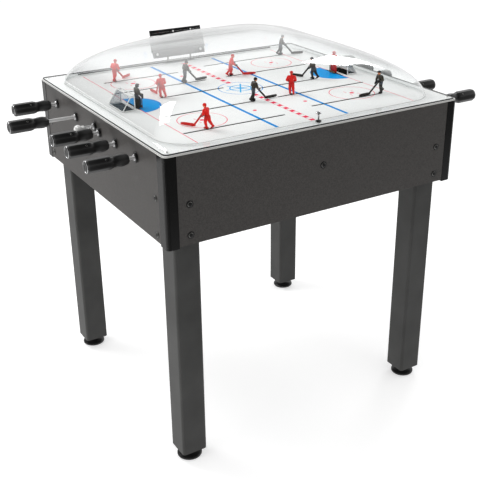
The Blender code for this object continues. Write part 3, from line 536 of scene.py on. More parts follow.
for team, sign in teams.items():
    for line in lines_of_play:
        name = f"{team}_{line}_rod"
        low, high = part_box(name)
        axis = middle_of(name)
        tip = low[0] if team == "dark" else high[0]
        matrix = Matrix.Translation((tip, axis.y, axis.z)) @ outward[team]
        shape = bmesh.new()
        rings = [grip_ring(radius * 0.001 * grip_skin_share, -grip_length * place_share, roundness)
                 for place_share, radius, roundness in reversed(grip_stations)]
        verts = skinned(shape, rings + [grip_ring(radius, level, 1) for radius, level in cap_profile])
        bmesh.ops.transform(shape, matrix=matrix, verts=verts)
        grip = add_piece(f"grip_{team}_{line}", shape, grip_finish, name)
        trim = bmesh.new()
        turned_ring(trim, ring_section, 48, matrix)
        add_piece(f"grip_ring_{team}_{line}", trim, chrome_finish, name)
        # Sunk screw on the flat that faces up and out
        spot = bmesh.new()
        hole = matrix @ Matrix.Rotation(math.radians(45 * sign), 4, "Z")
        hole = hole @ Matrix.Translation((0, -screw_depth, -grip_length * screw_share))
        turned_ring(spot, screw_section, 24, hole @ Matrix.Rotation(math.pi / 2, 4, "X"))
        add_piece(f"grip_screw_{team}_{line}", spot, zinc_finish, name)
        # Bright sleeve of the rod, from the grip to the collar inside the cabinet
        rod = bmesh.new()
        reach = abs(joint_place(f"{team}_{line}_turn")[0] - tip) - collar_reach
        rod_section = [(rod_bore, -grip_length), (rod_radius, -grip_length),
                       (rod_radius, -reach), (rod_bore, -reach)]
        turned_ring(rod, rod_section, 40, matrix)
        add_piece(f"rod_skin_{team}_{line}", rod, rod_finish, name)
        finish_nodes([name], grip_finish)
    name = f"{team}_goalie_rod"
    finish_nodes([name], rod_finish)
    # Ball knob with a short neck, over the end of the goalie's rod
    low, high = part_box(name)
    axis = middle_of(name)
    centre_x = low[0] + ball_radius - 0.0002 if team == "dark" else high[0] - ball_radius + 0.0002
    shape = bmesh.new()
    neck = [(0.0052, -0.0185), (0.0074, -0.0180), (0.0076, -0.0120)]
    arc = [(ball_radius * math.cos(turn), ball_radius * math.sin(turn))
           for turn in [math.radians(step * 8 - 46) for step in range(17)]]
    turned(shape, neck + arc, 36, Matrix.Translation((centre_x, axis.y, axis.z)) @ outward[team])
    add_piece(f"goalie_ball_{team}", shape, ball_finish, name)


# Skaters
# Solid moulded figures, one shape for both teams: a straight leg over the slot, a bent leg that pushes off
# behind, both hands on the stick. They are painted in the team's colour and pressed on the slot's pin.

mm = 0.001
figure_tall = 80 * mm


def team_paint(name, bands, roughness=0.34):
    """Enamel in level bands, each a start in millimetres and a colour, with worn lighter places."""
    finish, tree, shader = start_finish(name, Roughness=roughness, Specular_IOR_Level=0.35)
    place = add_node(tree, "ShaderNodeTexCoord").outputs["Object"]
    height = add_node(tree, "ShaderNodeSeparateXYZ", {"Vector": place}).outputs["Z"]
    share = add_node(tree, "ShaderNodeMath", {0: height, 1: figure_tall}, operation="DIVIDE").outputs[0]
    ramp = add_node(tree, "ShaderNodeValToRGB", {"Fac": share})
    ramp.color_ramp.interpolation = "CONSTANT"
    for index, (start, code) in enumerate(bands):
        position = start * mm / figure_tall
        element = ramp.color_ramp.elements[index] if index < 2 else ramp.color_ramp.elements.new(position)
        element.position = position
        element.color = paint(code)
    wear = grain(tree, 210, 4)
    span = {"Value": wear, "From Min": 0.3, "From Max": 0.7, "To Min": 0.82, "To Max": 1.22}
    lift = add_node(tree, "ShaderNodeMapRange", span).outputs["Result"]
    worn = add_node(tree, "ShaderNodeHueSaturation", {"Color": ramp.outputs["Color"], "Value": lift})
    tree.links.new(worn.outputs["Color"], shader.inputs["Base Color"])
    bumped(tree, shader, wear, 0.2, 0.0004)
    return finish


def one_colour(name, code, roughness=0.34):
    """Enamel of one colour from a figure's foot to its top."""
    return team_paint(name, [(-9, code), (79, code)], roughness)


# Boots, legs, hips and shirt, from below
# The dark team's bluish grey band at the hips is partly the kit's colour and partly a painted highlight on
# the belly
kit_bands = {"dark": [(-9, "#0e0e0d"), (8, "#23211c"), (29, "#3f454e"), (41, "#373126")],
             "red": [(-9, "#b80f08"), (8, "#dc140a"), (29, "#c4120a"), (41, "#e01a10")]}
kit_paints = {team: team_paint(f"{team}_kit_enamel", kit_bands[team]) for team in teams}
stick_paints = {"dark": one_colour("black_stick_enamel", "#1b1914"),
                "red": one_colour("red_stick_enamel", "#cc150c")}
helmet_paints = {"dark": one_colour("black_helmet_enamel", "#181818"), "red": stick_paints["red"]}
glove_paint = one_colour("black_glove_enamel", "#161616", 0.4)
skin_paint = one_colour("bare_face_enamel", "#d98a5c", 0.45)
limb_sides = 14
# Share of its radius that a limb's flat tips keep
tip_share = 0.08


def capsule(shape, start, end, start_radius, end_radius):
    """Round-ended tapered limb between two points."""
    start, end = Vector(start), Vector(end)
    run = end - start
    length = run.length
    turn = run.to_track_quat("Z", "Y").to_matrix().to_4x4()
    profile = []
    quarter = [math.pi / 2 * (step / 4) for step in range(5)]
    for angle in quarter:
        profile.append((start_radius * max(math.sin(angle), tip_share), -start_radius * math.cos(angle)))
    for angle in reversed(quarter):
        profile.append((end_radius * max(math.sin(angle), tip_share), length + end_radius * math.cos(angle)))
    turned(shape, profile, limb_sides, Matrix.Translation(start) @ turn)


def ball(shape, centre, radii, tilt=0.0):
    """Egg shape with three radii, tilted forward."""
    matrix = Matrix.Translation(centre) @ Matrix.Rotation(tilt, 4, "Y") @ Matrix.Diagonal((*radii, 1))
    bmesh.ops.create_uvsphere(shape, u_segments=16, v_segments=10, radius=1, matrix=matrix)


def melted(name, shape, voxel, finish):
    """Close the overlapping forms of a casting into one skin and soften it."""
    mesh = bpy.data.meshes.new(name)
    bmesh.ops.recalc_face_normals(shape, faces=shape.faces)
    shape.to_mesh(mesh)
    shape.free()
    holder = bpy.data.objects.new(name, mesh)
    bpy.context.collection.objects.link(holder)
    remesh = holder.modifiers.new("one_skin", "REMESH")
    remesh.mode = "VOXEL"
    remesh.voxel_size = voxel
    soften = holder.modifiers.new("soften", "SMOOTH")
    soften.factor = 0.6
    soften.iterations = 3
    bpy.context.view_layer.update()
    result = bpy.data.meshes.new_from_object(holder.evaluated_get(bpy.context.evaluated_depsgraph_get()))
    bpy.data.objects.remove(holder, do_unlink=True)
    result.materials.clear()
    result.materials.append(finish)
    result.shade_smooth()
    return result


def scaled(*numbers):
    """Millimetres to metres, for a figure's small sizes."""
    return tuple(number * mm for number in numbers)


def limb(shape, points, radii):
    """Run of capsules through places in millimetres, with a radius at each."""
    for start, end, first, last in zip(points, points[1:], radii, radii[1:]):
        capsule(shape, scaled(*start), scaled(*end), first * mm, last * mm)


def numbered(shape, index, done):
    """Give the faces made since a count their material's number, and return the new count."""
    shape.faces.ensure_lookup_table()
    for face in shape.faces[done:]:
        face.material_index = index
    return len(shape.faces)


# Eight corners of a flat bar's section, as shares of its half height and half width
bar_corners = ((-1, -0.7), (-0.8, -1), (0.8, -1), (1, -0.7), (1, 0.7), (0.8, 1), (-0.8, 1), (-1, 0.7))


def skater_kit():
    """Torso, arms, legs and boots of a skater who faces +X, with the ice at zero."""
    shape = bmesh.new()
    ball(shape, scaled(-1.5, 0, 35.5), scaled(6.4, 7.8, 5.8))
    limb(shape, [(-1, 0, 39), (2, 0, 49)], [6.4, 7.0])
    ball(shape, scaled(3, 0, 52), scaled(6.4, 10.6, 6.6), 0.3)
    limb(shape, [(3.4, -8.6, 55.5), (3.4, 8.6, 55.5)], [4.3, 4.3])
    limb(shape, [(4.5, 0, 57), (6.4, 0, 62)], [3.4, 2.8])
    limb(shape, [(3.4, 9.6, 54.8), (3, 14, 45), (9, 8, 41)], [4.6, 4.1, 3.2])
    limb(shape, [(3.4, -9.6, 54.8), (5, -13.5, 43.5), (14, -4.5, 37)], [4.6, 4.1, 3.2])
    limb(shape, [(0.4, 3.4, 35), (3, 4.6, 20), (0.2, 4, 6.4)], [6, 4.7, 3.3])
    limb(shape, [(-2.6, -3.6, 35), (-4.6, -5.2, 21.5), (-13.6, -5.8, 11)], [6, 4.7, 3.3])
    limb(shape, [(-3.4, 4, 4.8), (6.6, 4, 4.0)], [3.2, 2.6])
    limb(shape, [(-16.6, -5.8, 9.6), (-9.6, -5.8, 3.6)], [3.2, 2.6])
    return shape


kit_mesh = {team: melted(f"{team}_kit", skater_kit(), 0.8 * mm, kit_paints[team]) for team in teams}


def skater_details():
    """Face, helmet, gloves, stick, skate runners and pin, numbered by their materials."""
    shape = bmesh.new()
    ball(shape, scaled(7.6, 0, 65.2), scaled(4.6, 4.2, 5.6), 0.1)
    ball(shape, scaled(12, 0, 64.6), scaled(0.9, 0.8, 1.1))
    done = numbered(shape, 0, 0)
    ball(shape, scaled(6.6, 0, 68), scaled(5.6, 5.1, 4.7), 0.15)
    limb(shape, [(3.4, 0, 65), (3.6, 0, 67.6)], [2.4, 2.8])
    limb(shape, [(8.6, -3.4, 68.2), (8.6, 3.4, 68.2)], [2.6, 2.6])
    done = numbered(shape, 1, done)
    limb(shape, [(9, 8, 41), (12.4, 4.4, 41)], [3.8, 4.1])
    limb(shape, [(14, -4.5, 37), (18.6, -1.4, 34.5)], [3.8, 4.1])
    done = numbered(shape, 2, done)
    # The shaft runs through both gloves down to the blade's heel
    rings = []
    for place_share in (0, 0.5, 1):
        centre = Vector(scaled(7, 7, 47)).lerp(Vector(scaled(42, -0.5, 6.2)), place_share)
        rings.append([centre + Vector(scaled(up * 1.7, side * 1.6, up * 2.0)) for up, side in bar_corners])
    skinned(shape, rings)
    # Sections along the blade: how far out, how far it bends aside, half its height and half its thickness
    blade = ((39, -0.6, 3.0, 1.6), (46, -0.5, 4.2, 1.6), (60, 0, 4.3, 1.5), (74, 1.0, 4.2, 1.4),
             (83, 2.2, 3.4, 1.2), (85, 2.5, 2.2, 0.9))
    rings = [[scaled(reach, sag + side * half_wide, 4.9 + up * half_high) for up, side in bar_corners]
             for reach, sag, half_high, half_wide in blade]
    skinned(shape, rings)
    done = numbered(shape, 3, done)
    # Runners: the front one flat on the ice, the rear one on its toe
    runner = ((-6, 1.6), (-5.4, 0.3), (8, 0.3), (9.4, 1.6), (6, 2.8), (-3.6, 2.8))
    for foot, tip_degrees in (((0.2, 4), 0), ((-12.5, -5.8), 38)):
        verts = skinned(shape, [[scaled(reach, side * 0.6, up) for reach, up in runner] for side in (-1, 1)])
        tip = math.radians(tip_degrees)
        seat = Matrix.Translation((foot[0] * mm, foot[1] * mm, (0.8 + 5.2 * math.sin(tip)) * mm))
        bmesh.ops.transform(shape, matrix=seat @ Matrix.Rotation(tip, 4, "Y"), verts=verts)
    pin_profile = [(2.4, -6), (2.4, 0.0), (4.4, 0.2), (4.4, 2.2), (3.6, 3.2)]
    turned(shape, [scaled(*point) for point in pin_profile], 24)
    numbered(shape, 4, done)
    return shape


def add_figure(name, mesh, seat, turn, node):
    """Set a figure's mesh on its place in its team's plastic, and let it ride with its body."""
    piece = bpy.data.objects.new(name, mesh)
    bpy.context.collection.objects.link(piece)
    piece.location = seat
    piece.rotation_euler.z = turn
    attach(piece, node)
    return piece


heading_degrees = {
    "dark": {"left_wing": -20, "left_defence": 5, "centre": 115, "right_defence": 0, "right_wing": 180},
    "red": {"left_wing": 120, "left_defence": 60, "centre": 88, "right_defence": -20, "right_wing": 30},
}
ice_level = float(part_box("dome")[0][2]) - 0.0003
figure_lift = 0.0008
for team in teams:
    details = skater_details()
    bmesh.ops.recalc_face_normals(details, faces=details.faces)
    detail_mesh = bpy.data.meshes.new(f"{team}_skater_details")
    details.to_mesh(detail_mesh)
    details.free()
    for finish in (skin_paint, helmet_paints[team], glove_paint, stick_paints[team], glove_paint):
        detail_mesh.materials.append(finish)
    detail_mesh.shade_smooth()
    detail_mesh.set_sharp_from_angle(angle=math.radians(45))
    for line in lines_of_play:
        name = f"{team}_{line}_skater"
        pin = joint_place(f"{team}_{line}_turn")
        seat = (pin[0], pin[1], ice_level + figure_lift)
        turn = math.radians(heading_degrees[team][line])
        kit = add_figure(f"{team}_{line}_kit", kit_mesh[team], seat, turn, name)
        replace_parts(kit, name)
        add_figure(f"{team}_{line}_figure", detail_mesh, seat, turn, name)


# Goalies
# Moulded goalies with leg pads, a blocker, a catching glove and a wooden stick, on a foot that slides in a
# slot along the goal line.

wood_paint = one_colour("brown_stick_enamel", "#6e4a22")


def goalie_kit():
    """Torso, arms and legs of a goalie who faces +X, with the ice at zero."""
    shape = bmesh.new()
    ball(shape, scaled(-0.5, 0, 37), scaled(6.6, 8, 7))
    ball(shape, scaled(1, 0, 49), scaled(6.8, 10.4, 10), 0.1)
    limb(shape, [(1.4, -8.4, 56.5), (1.4, 8.4, 56.5)], [4.8, 4.8])
    for side in (1, -1):
        limb(shape, [(1.4, 9.4 * side, 55.5), (3, 13.6 * side, 46), (9.4, 13 * side, 39)], [5, 4.4, 3.8])
        limb(shape, [(-0.4, 4.6 * side, 36), (2.4, 6.4 * side, 20), (0.4, 6.6 * side, 5.6)], [6, 5, 4])
    return shape


def goalie_pads():
    """Leg pads, catching glove and blocker."""
    shape = bmesh.new()
    # Each pad's level, half width and reach forward, and its section's corners
    stations = ((1, 4.6, 5), (4, 5.4, 7.4), (14, 5.6, 8.4), (22, 5.8, 9.2), (30, 5.6, 8.4), (35.5, 4.8, 6.8))
    corners = ((0, -0.75), (0, 0.75), (1.4, 1), (6, 1), (6, -1), (1.4, -1))
    for side in (1, -1):
        skinned(shape, [[scaled(reach - back, side * 6.7 + wide * half_wide, level) for back, wide in corners]
                        for level, half_wide, reach in stations])
    limb(shape, [(9.4, 13, 38), (13, 13, 40)], [4.8, 5.6])
    plate = ((-4.6, -7), (4.6, -7), (5, 0), (4.6, 7), (-4.6, 7), (-5, 0))
    skinned(shape, [[scaled(11 + back, -13 + wide, 37 + up) for wide, up in plate] for back in (0, 3)])
    return shape


def goalie_head():
    """Mask with a brow ridge and cage bars."""
    shape = bmesh.new()
    ball(shape, scaled(3.4, 0, 66.6), scaled(5.7, 5.3, 6.7), 0.1)
    limb(shape, [(7.4, -2.8, 69.6), (7.4, 2.8, 69.6)], [2.0, 2.0])
    for level in (63.4, 65.2, 67):
        limb(shape, [(6.6, -3.6, level), (9.2, 0, level), (6.6, 3.6, level)], [0.5, 0.5, 0.5])
    return shape


def goalie_stick():
    """Shaft down from the blocker, and a wide blade along the goal line."""
    shape = bmesh.new()
    limb(shape, [(11, -13, 44), (11.6, -10, 6)], [1.5, 1.5])
    blade = ((-12, -3.2), (14, -3.2), (17, -1), (16.5, 3), (-11, 3.6))
    skinned(shape, [[scaled(11.6 + side * 1.3, reach, 4.2 + up) for reach, up in blade] for side in (-1, 1)])
    return shape


def goalie_foot():
    """Round foot with its stem down through the slot."""
    shape = bmesh.new()
    foot_profile = [(2.6, -22), (2.6, 0.0), (8.4, 0.3), (8.4, 2), (7, 2.8)]
    turned(shape, [scaled(*point) for point in foot_profile], 28)
    return shape


for team in teams:
    name = f"{team}_goalie"
    seat = (joint_place(f"{name}_spin")[0], middle_of(name).y, ice_level + figure_lift)
    turn = 0 if team == "dark" else math.pi
    kit = melted(f"{name}_kit", goalie_kit(), 0.9 * mm, kit_paints[team])
    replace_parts(add_figure(f"{name}_body", kit, seat, turn, name), name)
    pad_paint = glove_paint if team == "dark" else stick_paints["red"]
    details = (("pads", goalie_pads(), pad_paint), ("head", goalie_head(), helmet_paints[team]),
               ("stick", goalie_stick(), wood_paint), ("foot", goalie_foot(), glove_paint))
    for part, shape, finish in details:
        piece = add_piece(f"{name}_{part}", shape, finish, name, seat)
        piece.rotation_euler.z = turn


# Goals
# White dipped-wire frames with smoky clear sheets on the sides and the sloping back; the puck drops through
# the hole inside.

# Dipped wire: white with slight runs
goal_white, tree, shader = start_finish("white_dipped_wire", Base_Color=paint("#eeeeec"), Roughness=0.3)
bumped(tree, shader, grain(tree, 300), 0.15)


def see_through(name, code, haze, roughness, mirror=0.0, power=5.0):
    """Clear sheet: it lets most light through and mirrors more at low angles, with a little haze in it."""
    finish = bpy.data.materials.new(name)
    finish.use_nodes = True
    tree = finish.node_tree
    tree.nodes.clear()
    gloss = {"Base Color": paint(code), "Roughness": roughness, "Metallic": mirror}
    body = add_node(tree, "ShaderNodeBsdfPrincipled", gloss)
    clear = add_node(tree, "ShaderNodeBsdfTransparent")
    # Gloss rises with a power of the slant, the same from both sides of the sheet
    slant = add_node(tree, "ShaderNodeLayerWeight", {"Blend": 0.5})
    rise = add_node(tree, "ShaderNodeMath", {0: slant.outputs["Facing"], 1: power}, operation="POWER")
    cloud = {0: grain(tree, 7, 4), 1: 0.01, 2: 0.004 + haze}
    veil = add_node(tree, "ShaderNodeMath", cloud, operation="MULTIPLY_ADD")
    total = {0: rise.outputs[0], 1: 0.96, 2: veil.outputs[0]}
    share = add_node(tree, "ShaderNodeMath", total, operation="MULTIPLY_ADD", use_clamp=True)
    # Both faces of the sheet mirror alike, so the share that passes is squared
    passed = add_node(tree, "ShaderNodeMath", {0: 1.0, 1: share.outputs[0]}, operation="SUBTRACT")
    twice = add_node(tree, "ShaderNodeMath", {0: passed.outputs[0], 1: 2.0}, operation="POWER")
    both_lights = {0: twice.outputs[0], 1: body.outputs[0], 2: clear.outputs[0]}
    mix = add_node(tree, "ShaderNodeMixShader", both_lights)
    add_node(tree, "ShaderNodeOutputMaterial", {"Surface": mix.outputs[0]})
    return finish


smoke_finish = see_through("smoky_clear_sheet", "#66747f", haze=0.16, roughness=0.15)
wire_radius = 0.0015
wire_sides = 10


def wire(shape, points):
    """Round wire along a run of points, with a face at each end."""
    points = [Vector(point) for point in points]
    rings = []
    for index, point in enumerate(points):
        before = points[max(index - 1, 0)]
        after = points[min(index + 1, len(points) - 1)]
        turn = (after - before).to_track_quat("Z", "Y").to_matrix()
        rings.append([point + turn @ Vector((wire_radius * math.cos(angle), wire_radius * math.sin(angle), 0))
                      for angle in [math.tau * step / wire_sides for step in range(wire_sides)]])
    skinned(shape, rings)


# How far behind a goal's mouth its front wires and its upper cross wire run, and how high the lowest are
front = 0.0022
crown = 0.012
sill = 0.0016
for team, sign in teams.items():
    low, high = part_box(f"{team}_goal")
    mouth = high[0] if team == "dark" else low[0]
    half = (high[1] - low[1]) / 2 - 0.002
    top = high[2] - low[2] - 0.0018
    base = low[2]
    depth = (high[0] - low[0]) - 0.003
    crown_level = top - 0.003

    def at(back, wide, up):
        """Place in a goal, from its mouth back, across and up."""
        return (mouth - sign * back, wide, base + up)

    mouth_bar = ((-half, 0.0004), (-half, top * 0.6), (-half, top - 0.006), (-half + 0.0018, top - 0.0018),
                 (-half + 0.006, top), (0, top), (half - 0.006, top), (half - 0.0018, top - 0.0018),
                 (half, top - 0.006), (half, 0.0004))
    side_bar = ((front, top - 0.0055), (crown - 0.004, top - 0.0016), (crown, crown_level),
                (crown + 0.004, top - 0.008), (depth - 0.002, 0.005), (depth - 0.0012, 0.0022))
    bars = [[at(front, wide, up) for wide, up in mouth_bar]]
    for wide in (-half, half):
        bars.append([at(back, wide, up) for back, up in side_bar])
        bars.append([at(back, wide, sill) for back in (front, depth * 0.5, depth)])
    bars.append([at(depth, wide, sill) for wide in (-half, 0, half)])
    bars.append([at(crown, wide, crown_level) for wide in (-half, 0, half)])
    shape = bmesh.new()
    for run in bars:
        wire(shape, run)
    frame_piece = add_piece(f"{team}_goal_wires", shape, goal_white, "cabinet")
    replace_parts(frame_piece, f"{team}_goal")
    # Each sheet is one surface, welded inside the wires
    sheets = bmesh.new()
    for side in (-1, 1):
        wide = side * (half - 0.0003)
        side_corners = ((front, 0.001), (depth, 0.001), (crown, crown_level), (front, crown_level))
        sheets.faces.new([sheets.verts.new(at(back, wide, up)) for back, up in side_corners])
    back_corners = ((depth, -half, sill), (depth, half, sill), (crown, half, crown_level),
                    (crown, -half, crown_level))
    sheets.faces.new([sheets.verts.new(at(*corner)) for corner in back_corners])
    add_piece(f"{team}_goal_sheets", sheets, smoke_finish, "cabinet", smooth=False)


# Dome
# Clear acrylic sheet blown into one bubble with a flat flange, which is screwed down on the bed; it lets the
# rink show and mirrors the bright side of the room.

dome_finish = see_through("clear_acrylic", "#f6f7f7", haze=0.0, roughness=0.02, mirror=1.0, power=3.4)
# The flat flange lies on the white bed and mirrors little of the room
flange_finish = see_through("clear_acrylic_flange", "#f6f7f7", haze=0.0, roughness=0.02, mirror=1.0,
                            power=8.0)
# The inner face only lets light through; its share of the gloss is counted at the outer face
inside_finish = bpy.data.materials.new("clear_acrylic_inside")
inside_finish.use_nodes = True
tree = inside_finish.node_tree
tree.nodes.clear()
inside = add_node(tree, "ShaderNodeBsdfTransparent", {"Color": paint("#fdfefe")})
add_node(tree, "ShaderNodeOutputMaterial", {"Surface": inside.outputs[0]})
table_length = 1.0
table_width = 0.92
dome_low, dome_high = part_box("dome")
flange_thickness = 0.003
dome_wall = 0.003
dome_half_length = table_length / 2 - 0.038
dome_half_width = table_width / 2 - 0.04
dome_corner = 0.1
dome_crown_corner_share = 0.6
dome_plan_power = 1.75
dome_rise_power = 1.72
dome_height = dome_high[2] - dome_low[2] - flange_thickness
dome_last_angle = math.radians(87)
dome_ring_count = 44
corner_steps = 14


def dome_rings(thickness, top, foot):
    """Outlines of the bubble from its foot to its crown."""
    rings = []
    for index in range(dome_ring_count + 1):
        angle = dome_last_angle * index / dome_ring_count
        size_share = math.cos(angle) ** (2 / dome_plan_power)
        rise_share = math.sin(angle) ** (2 / dome_rise_power)
        blend = min(1.0, (1 - size_share) * 2) ** 2
        foot_share = dome_corner / dome_half_length
        half_length = dome_half_length * size_share
        half_width = dome_half_width * size_share
        corner = half_length * (foot_share + (dome_crown_corner_share - foot_share) * blend)
        corner = min(corner, half_width * 0.999)
        outline = rounded_outline(half_length, half_width, corner, corner_steps)
        shrink_x = 1 - thickness / dome_half_length
        shrink_y = 1 - thickness / dome_half_width
        rings.append([(x * shrink_x, y * shrink_y, foot + (top - foot) * rise_share) for x, y in outline])
    return rings


flange_inset = 0.0002
flange_half_x = dome_high[0] - flange_inset
flange_half_y = dome_high[1] - flange_inset
rim = rounded_outline(flange_half_x, flange_half_y, bed_corner, corner_steps)
outer = dome_rings(0, flange_thickness + dome_height, flange_thickness)
inner = dome_rings(dome_wall, flange_thickness + dome_height - dome_wall, 0)
shape = bmesh.new()
rims = [[(x, y, level) for x, y in rim] for level in (flange_thickness, 0)]
skinned(shape, list(reversed(outer)) + rims + inner)
shape.faces.ensure_lookup_table()
first_flange = len(rim) * (len(outer) - 1)
first_inner = first_flange + len(rim) * 2
for face in shape.faces[first_flange:first_inner]:
    face.material_index = 2
for face in shape.faces[first_inner:]:
    face.material_index = 1
# The crown's cap on the outside comes before the one on the inside
shape.faces[-2].material_index = 0
dome_finishes = [dome_finish, inside_finish, flange_finish]
dome_shell = add_piece("dome_shell", shape, dome_finishes, "cabinet", (0, 0, dome_low[2]))
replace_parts(dome_shell, "dome")


# Rim seal
# Black rubber strip along the far side, and a black band round the flange's edge as painted shade in the gap
# under it, with a thin grey bead round the dome's foot; four small zinc screws hold the flange's corners
# down.

# Rubber: dull black with a pale bloom
seal_finish, tree, shader = start_finish("black_rubber_strip", Base_Color=paint("#1a1a1a"))
polished(tree, shader, grain(tree, 300), 0.5, 0.7)
flange_top = dome_low[2] + flange_thickness
seal_half = dome_half_length - dome_corner * 0.8
seal_section = ((0.0006, 0.0002), (0.0046, 0.0002), (0.0046, 0.0030), (0.0036, 0.0038), (0.0006, 0.0036))
shape = bmesh.new()
skinned(shape, [[(x, dome_half_width + out, flange_top + up) for out, up in seal_section]
                for x in (-seal_half, seal_half)])
add_piece("far_rim_seal", shape, seal_finish, "cabinet", smooth=False)
foot_outline = (dome_half_length, dome_half_width, dome_corner)
bead_section = [(out, flange_top + up)
                for out, up in ((0.0003, 0.0001), (0.0009, 0.0001), (0.0009, 0.0009), (0.0003, 0.0009))]
add_band("foot_bead", foot_outline, bead_section, corner_steps, band_finish)
# Painted shade: a thin near-black band round the flange's edge stands for the shadow in the gap under it
shade_band_bottom = dome_low[2] - 0.0001
shade_band_top = flange_top + 0.0003
shade_band_section = ((0.0004, shade_band_bottom), (0.0014, shade_band_bottom), (0.0014, shade_band_top),
                  (0.0004, shade_band_top))
shade_band_outline = (flange_half_x, flange_half_y, bed_corner)
add_band("flange_edge_shade", shade_band_outline, shade_band_section, corner_steps, seal_finish)
flange_screw_x = 0.479
flange_screw_y = 0.439
screw_profile = [(0.0034, 0.0001), (0.0037, 0.0006), (0.0034, 0.0013), (0.0024, 0.0019), (0.0009, 0.0021)]
shape = bmesh.new()
for x in (-flange_screw_x, flange_screw_x):
    for y in (-flange_screw_y, flange_screw_y):
        turned(shape, screw_profile, 24, Matrix.Translation((x, y, flange_top)))
add_piece("flange_screws", shape, zinc_finish, "cabinet")


# Scoreboard
# A folded plate of light grey plastic leans back on wires behind the dome; a black box bar on its top edge
# carries two white counting beads.

# Board plastic: light grey, paler up the face and darker in the flange; bead plastic: white and glossy
scoreboard_finish, tree, shader = start_finish("grey_board_plastic", Roughness=0.38)
place_in_room = add_node(tree, "ShaderNodeTexCoord")
split = add_node(tree, "ShaderNodeSeparateXYZ", {"Vector": place_in_room.outputs["Object"]})
span = {"Value": split.outputs["Z"], "From Min": 0.02, "From Max": 0.075, "To Min": 0.0, "To Max": 0.85}
fade = add_node(tree, "ShaderNodeMapRange", span).outputs["Result"]
mixed = add_node(tree, "ShaderNodeMath", {0: grain(tree, 30), 1: 0.15, 2: fade}, operation="MULTIPLY_ADD")
shaded(tree, shader, mixed.outputs[0], "#7c7c7c", "#c4c4c3", 0.0, 1.0)
bumped(tree, shader, grain(tree, 500, 2), 0.1)
bead_finish, tree, shader = start_finish("white_bead_plastic", Base_Color=paint("#f2f2f0"), Roughness=0.25)
bumped(tree, shader, grain(tree, 600, 2), 0.08, 0.0002)

lean = math.radians(17)
board_foot = Vector((0, 0.421, 1.028))
board_matrix = Matrix.Translation(board_foot) @ Matrix.Rotation(-lean, 4, "X")


def add_board_piece(name, shape, finish, smooth=True):
    """Piece of the scoreboard, made upright and leaned back with the rest."""
    piece = add_piece(name, shape, finish, "cabinet", smooth=smooth)
    piece.matrix_world = board_matrix
    return piece


def slab(shape, low, high, edge=0.0):
    """Box with its eight corners at two opposite places, and its edges eased."""
    made = bmesh.ops.create_cube(shape, size=1)
    for vert in made["verts"]:
        for axis in range(3):
            vert.co[axis] = low[axis] if vert.co[axis] < 0 else high[axis]
    if edge:
        edges = list({one for vert in made["verts"] for one in vert.link_edges})
        bmesh.ops.bevel(shape, geom=edges, offset=edge, segments=2, affect="EDGES", profile=0.5)


# Plate: a lower flange, a fold and the face, about 1.6 mm thick, cut as one outline and extruded
shape = bmesh.new()
flange_half = 0.1015
face_half = 0.105
fold_level = 0.027
face_top = 0.075
section_points = [(0.0, 0.0), (0.0, fold_level - 0.001), (0.0012, fold_level + 0.0008),
                  (0.0012, face_top), (0.0028, face_top), (0.0028, fold_level + 0.0002),
                  (0.0015, fold_level - 0.0018), (0.0015, 0.0)]
half_widths = [flange_half, flange_half, face_half, face_half - 0.0006, face_half - 0.0006, face_half,
               flange_half, flange_half]
rings = [[(side * half, depth, up) for (depth, up), half in zip(section_points, half_widths)]
         for side in (-1, 1)]
skinned(shape, rings)
plate = add_board_piece("scoreboard_plate", shape, scoreboard_finish, smooth=False)
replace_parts(plate, "scoreboard_case")
# Dark rib along the fold, with a catch at each end
shape = bmesh.new()
rib_half = face_half + 0.0005
catch_half = face_half + 0.001
slab(shape, (-rib_half, -0.0004, fold_level - 0.0014), (rib_half, 0.0012, fold_level + 0.0006), 0.0003)
for low_x, high_x in ((-catch_half, -flange_half), (flange_half, catch_half)):
    slab(shape, (low_x, 0.0002, fold_level - 0.006), (high_x, 0.0018, fold_level + 0.001), 0.0004)
add_board_piece("scoreboard_fold_rib", shape, seal_finish)
# White eyes with dark rings in the flange
eye_place = 0.0855
eye_level = 0.0125
eye_profile = [(0.0056, -0.0002), (0.0056, 0.0002), (0.0048, 0.0006), (0.0016, 0.0007)]
eye_rim_section = [(0.0056, 0.0), (0.0074, 0.0), (0.0074, 0.0006), (0.0070, 0.0009), (0.0058, 0.0009),
                   (0.0056, 0.0006)]
eyes, rims = bmesh.new(), bmesh.new()
for x in (-eye_place, eye_place):
    seat = Matrix.Translation((x, 0.0, eye_level)) @ Matrix.Rotation(math.pi / 2, 4, "X")
    turned(eyes, eye_profile, 28, seat)
    turned_ring(rims, eye_rim_section, 28, seat)
add_board_piece("scoreboard_eyes", eyes, bead_finish)
add_board_piece("scoreboard_eye_rims", rims, seal_finish)
# Box bar with a cap at each end, two ledges along its front and three lugs down to the plate
shape = bmesh.new()
bar_half = 0.0985
bar_bottom = face_top + 0.0022
bar_top = face_top + 0.0212
bar_middle = (bar_bottom + bar_top) / 2
slab(shape, (-bar_half, 0.0010, bar_bottom), (bar_half, 0.0058, bar_top), 0.0008)
for level in (bar_bottom + 0.0035, bar_top - 0.0035):
    slab(shape, (-0.0880, 0.0002, level - 0.0008), (bar_half, 0.0012, level + 0.0008), 0.0002)
for low_x, high_x in ((-0.0995, -0.0890), (0.0945, 0.0995)):
    slab(shape, (low_x, 0.0003, bar_bottom - 0.0004), (high_x, 0.0062, bar_top + 0.0004), 0.0008)
for x in (-0.06, 0.0, 0.06):
    slab(shape, (x - 0.003, 0.0016, face_top - 0.004), (x + 0.003, 0.0034, bar_bottom + 0.001), 0.0003)
add_board_piece("scoreboard_bar", shape, nylon_finish)
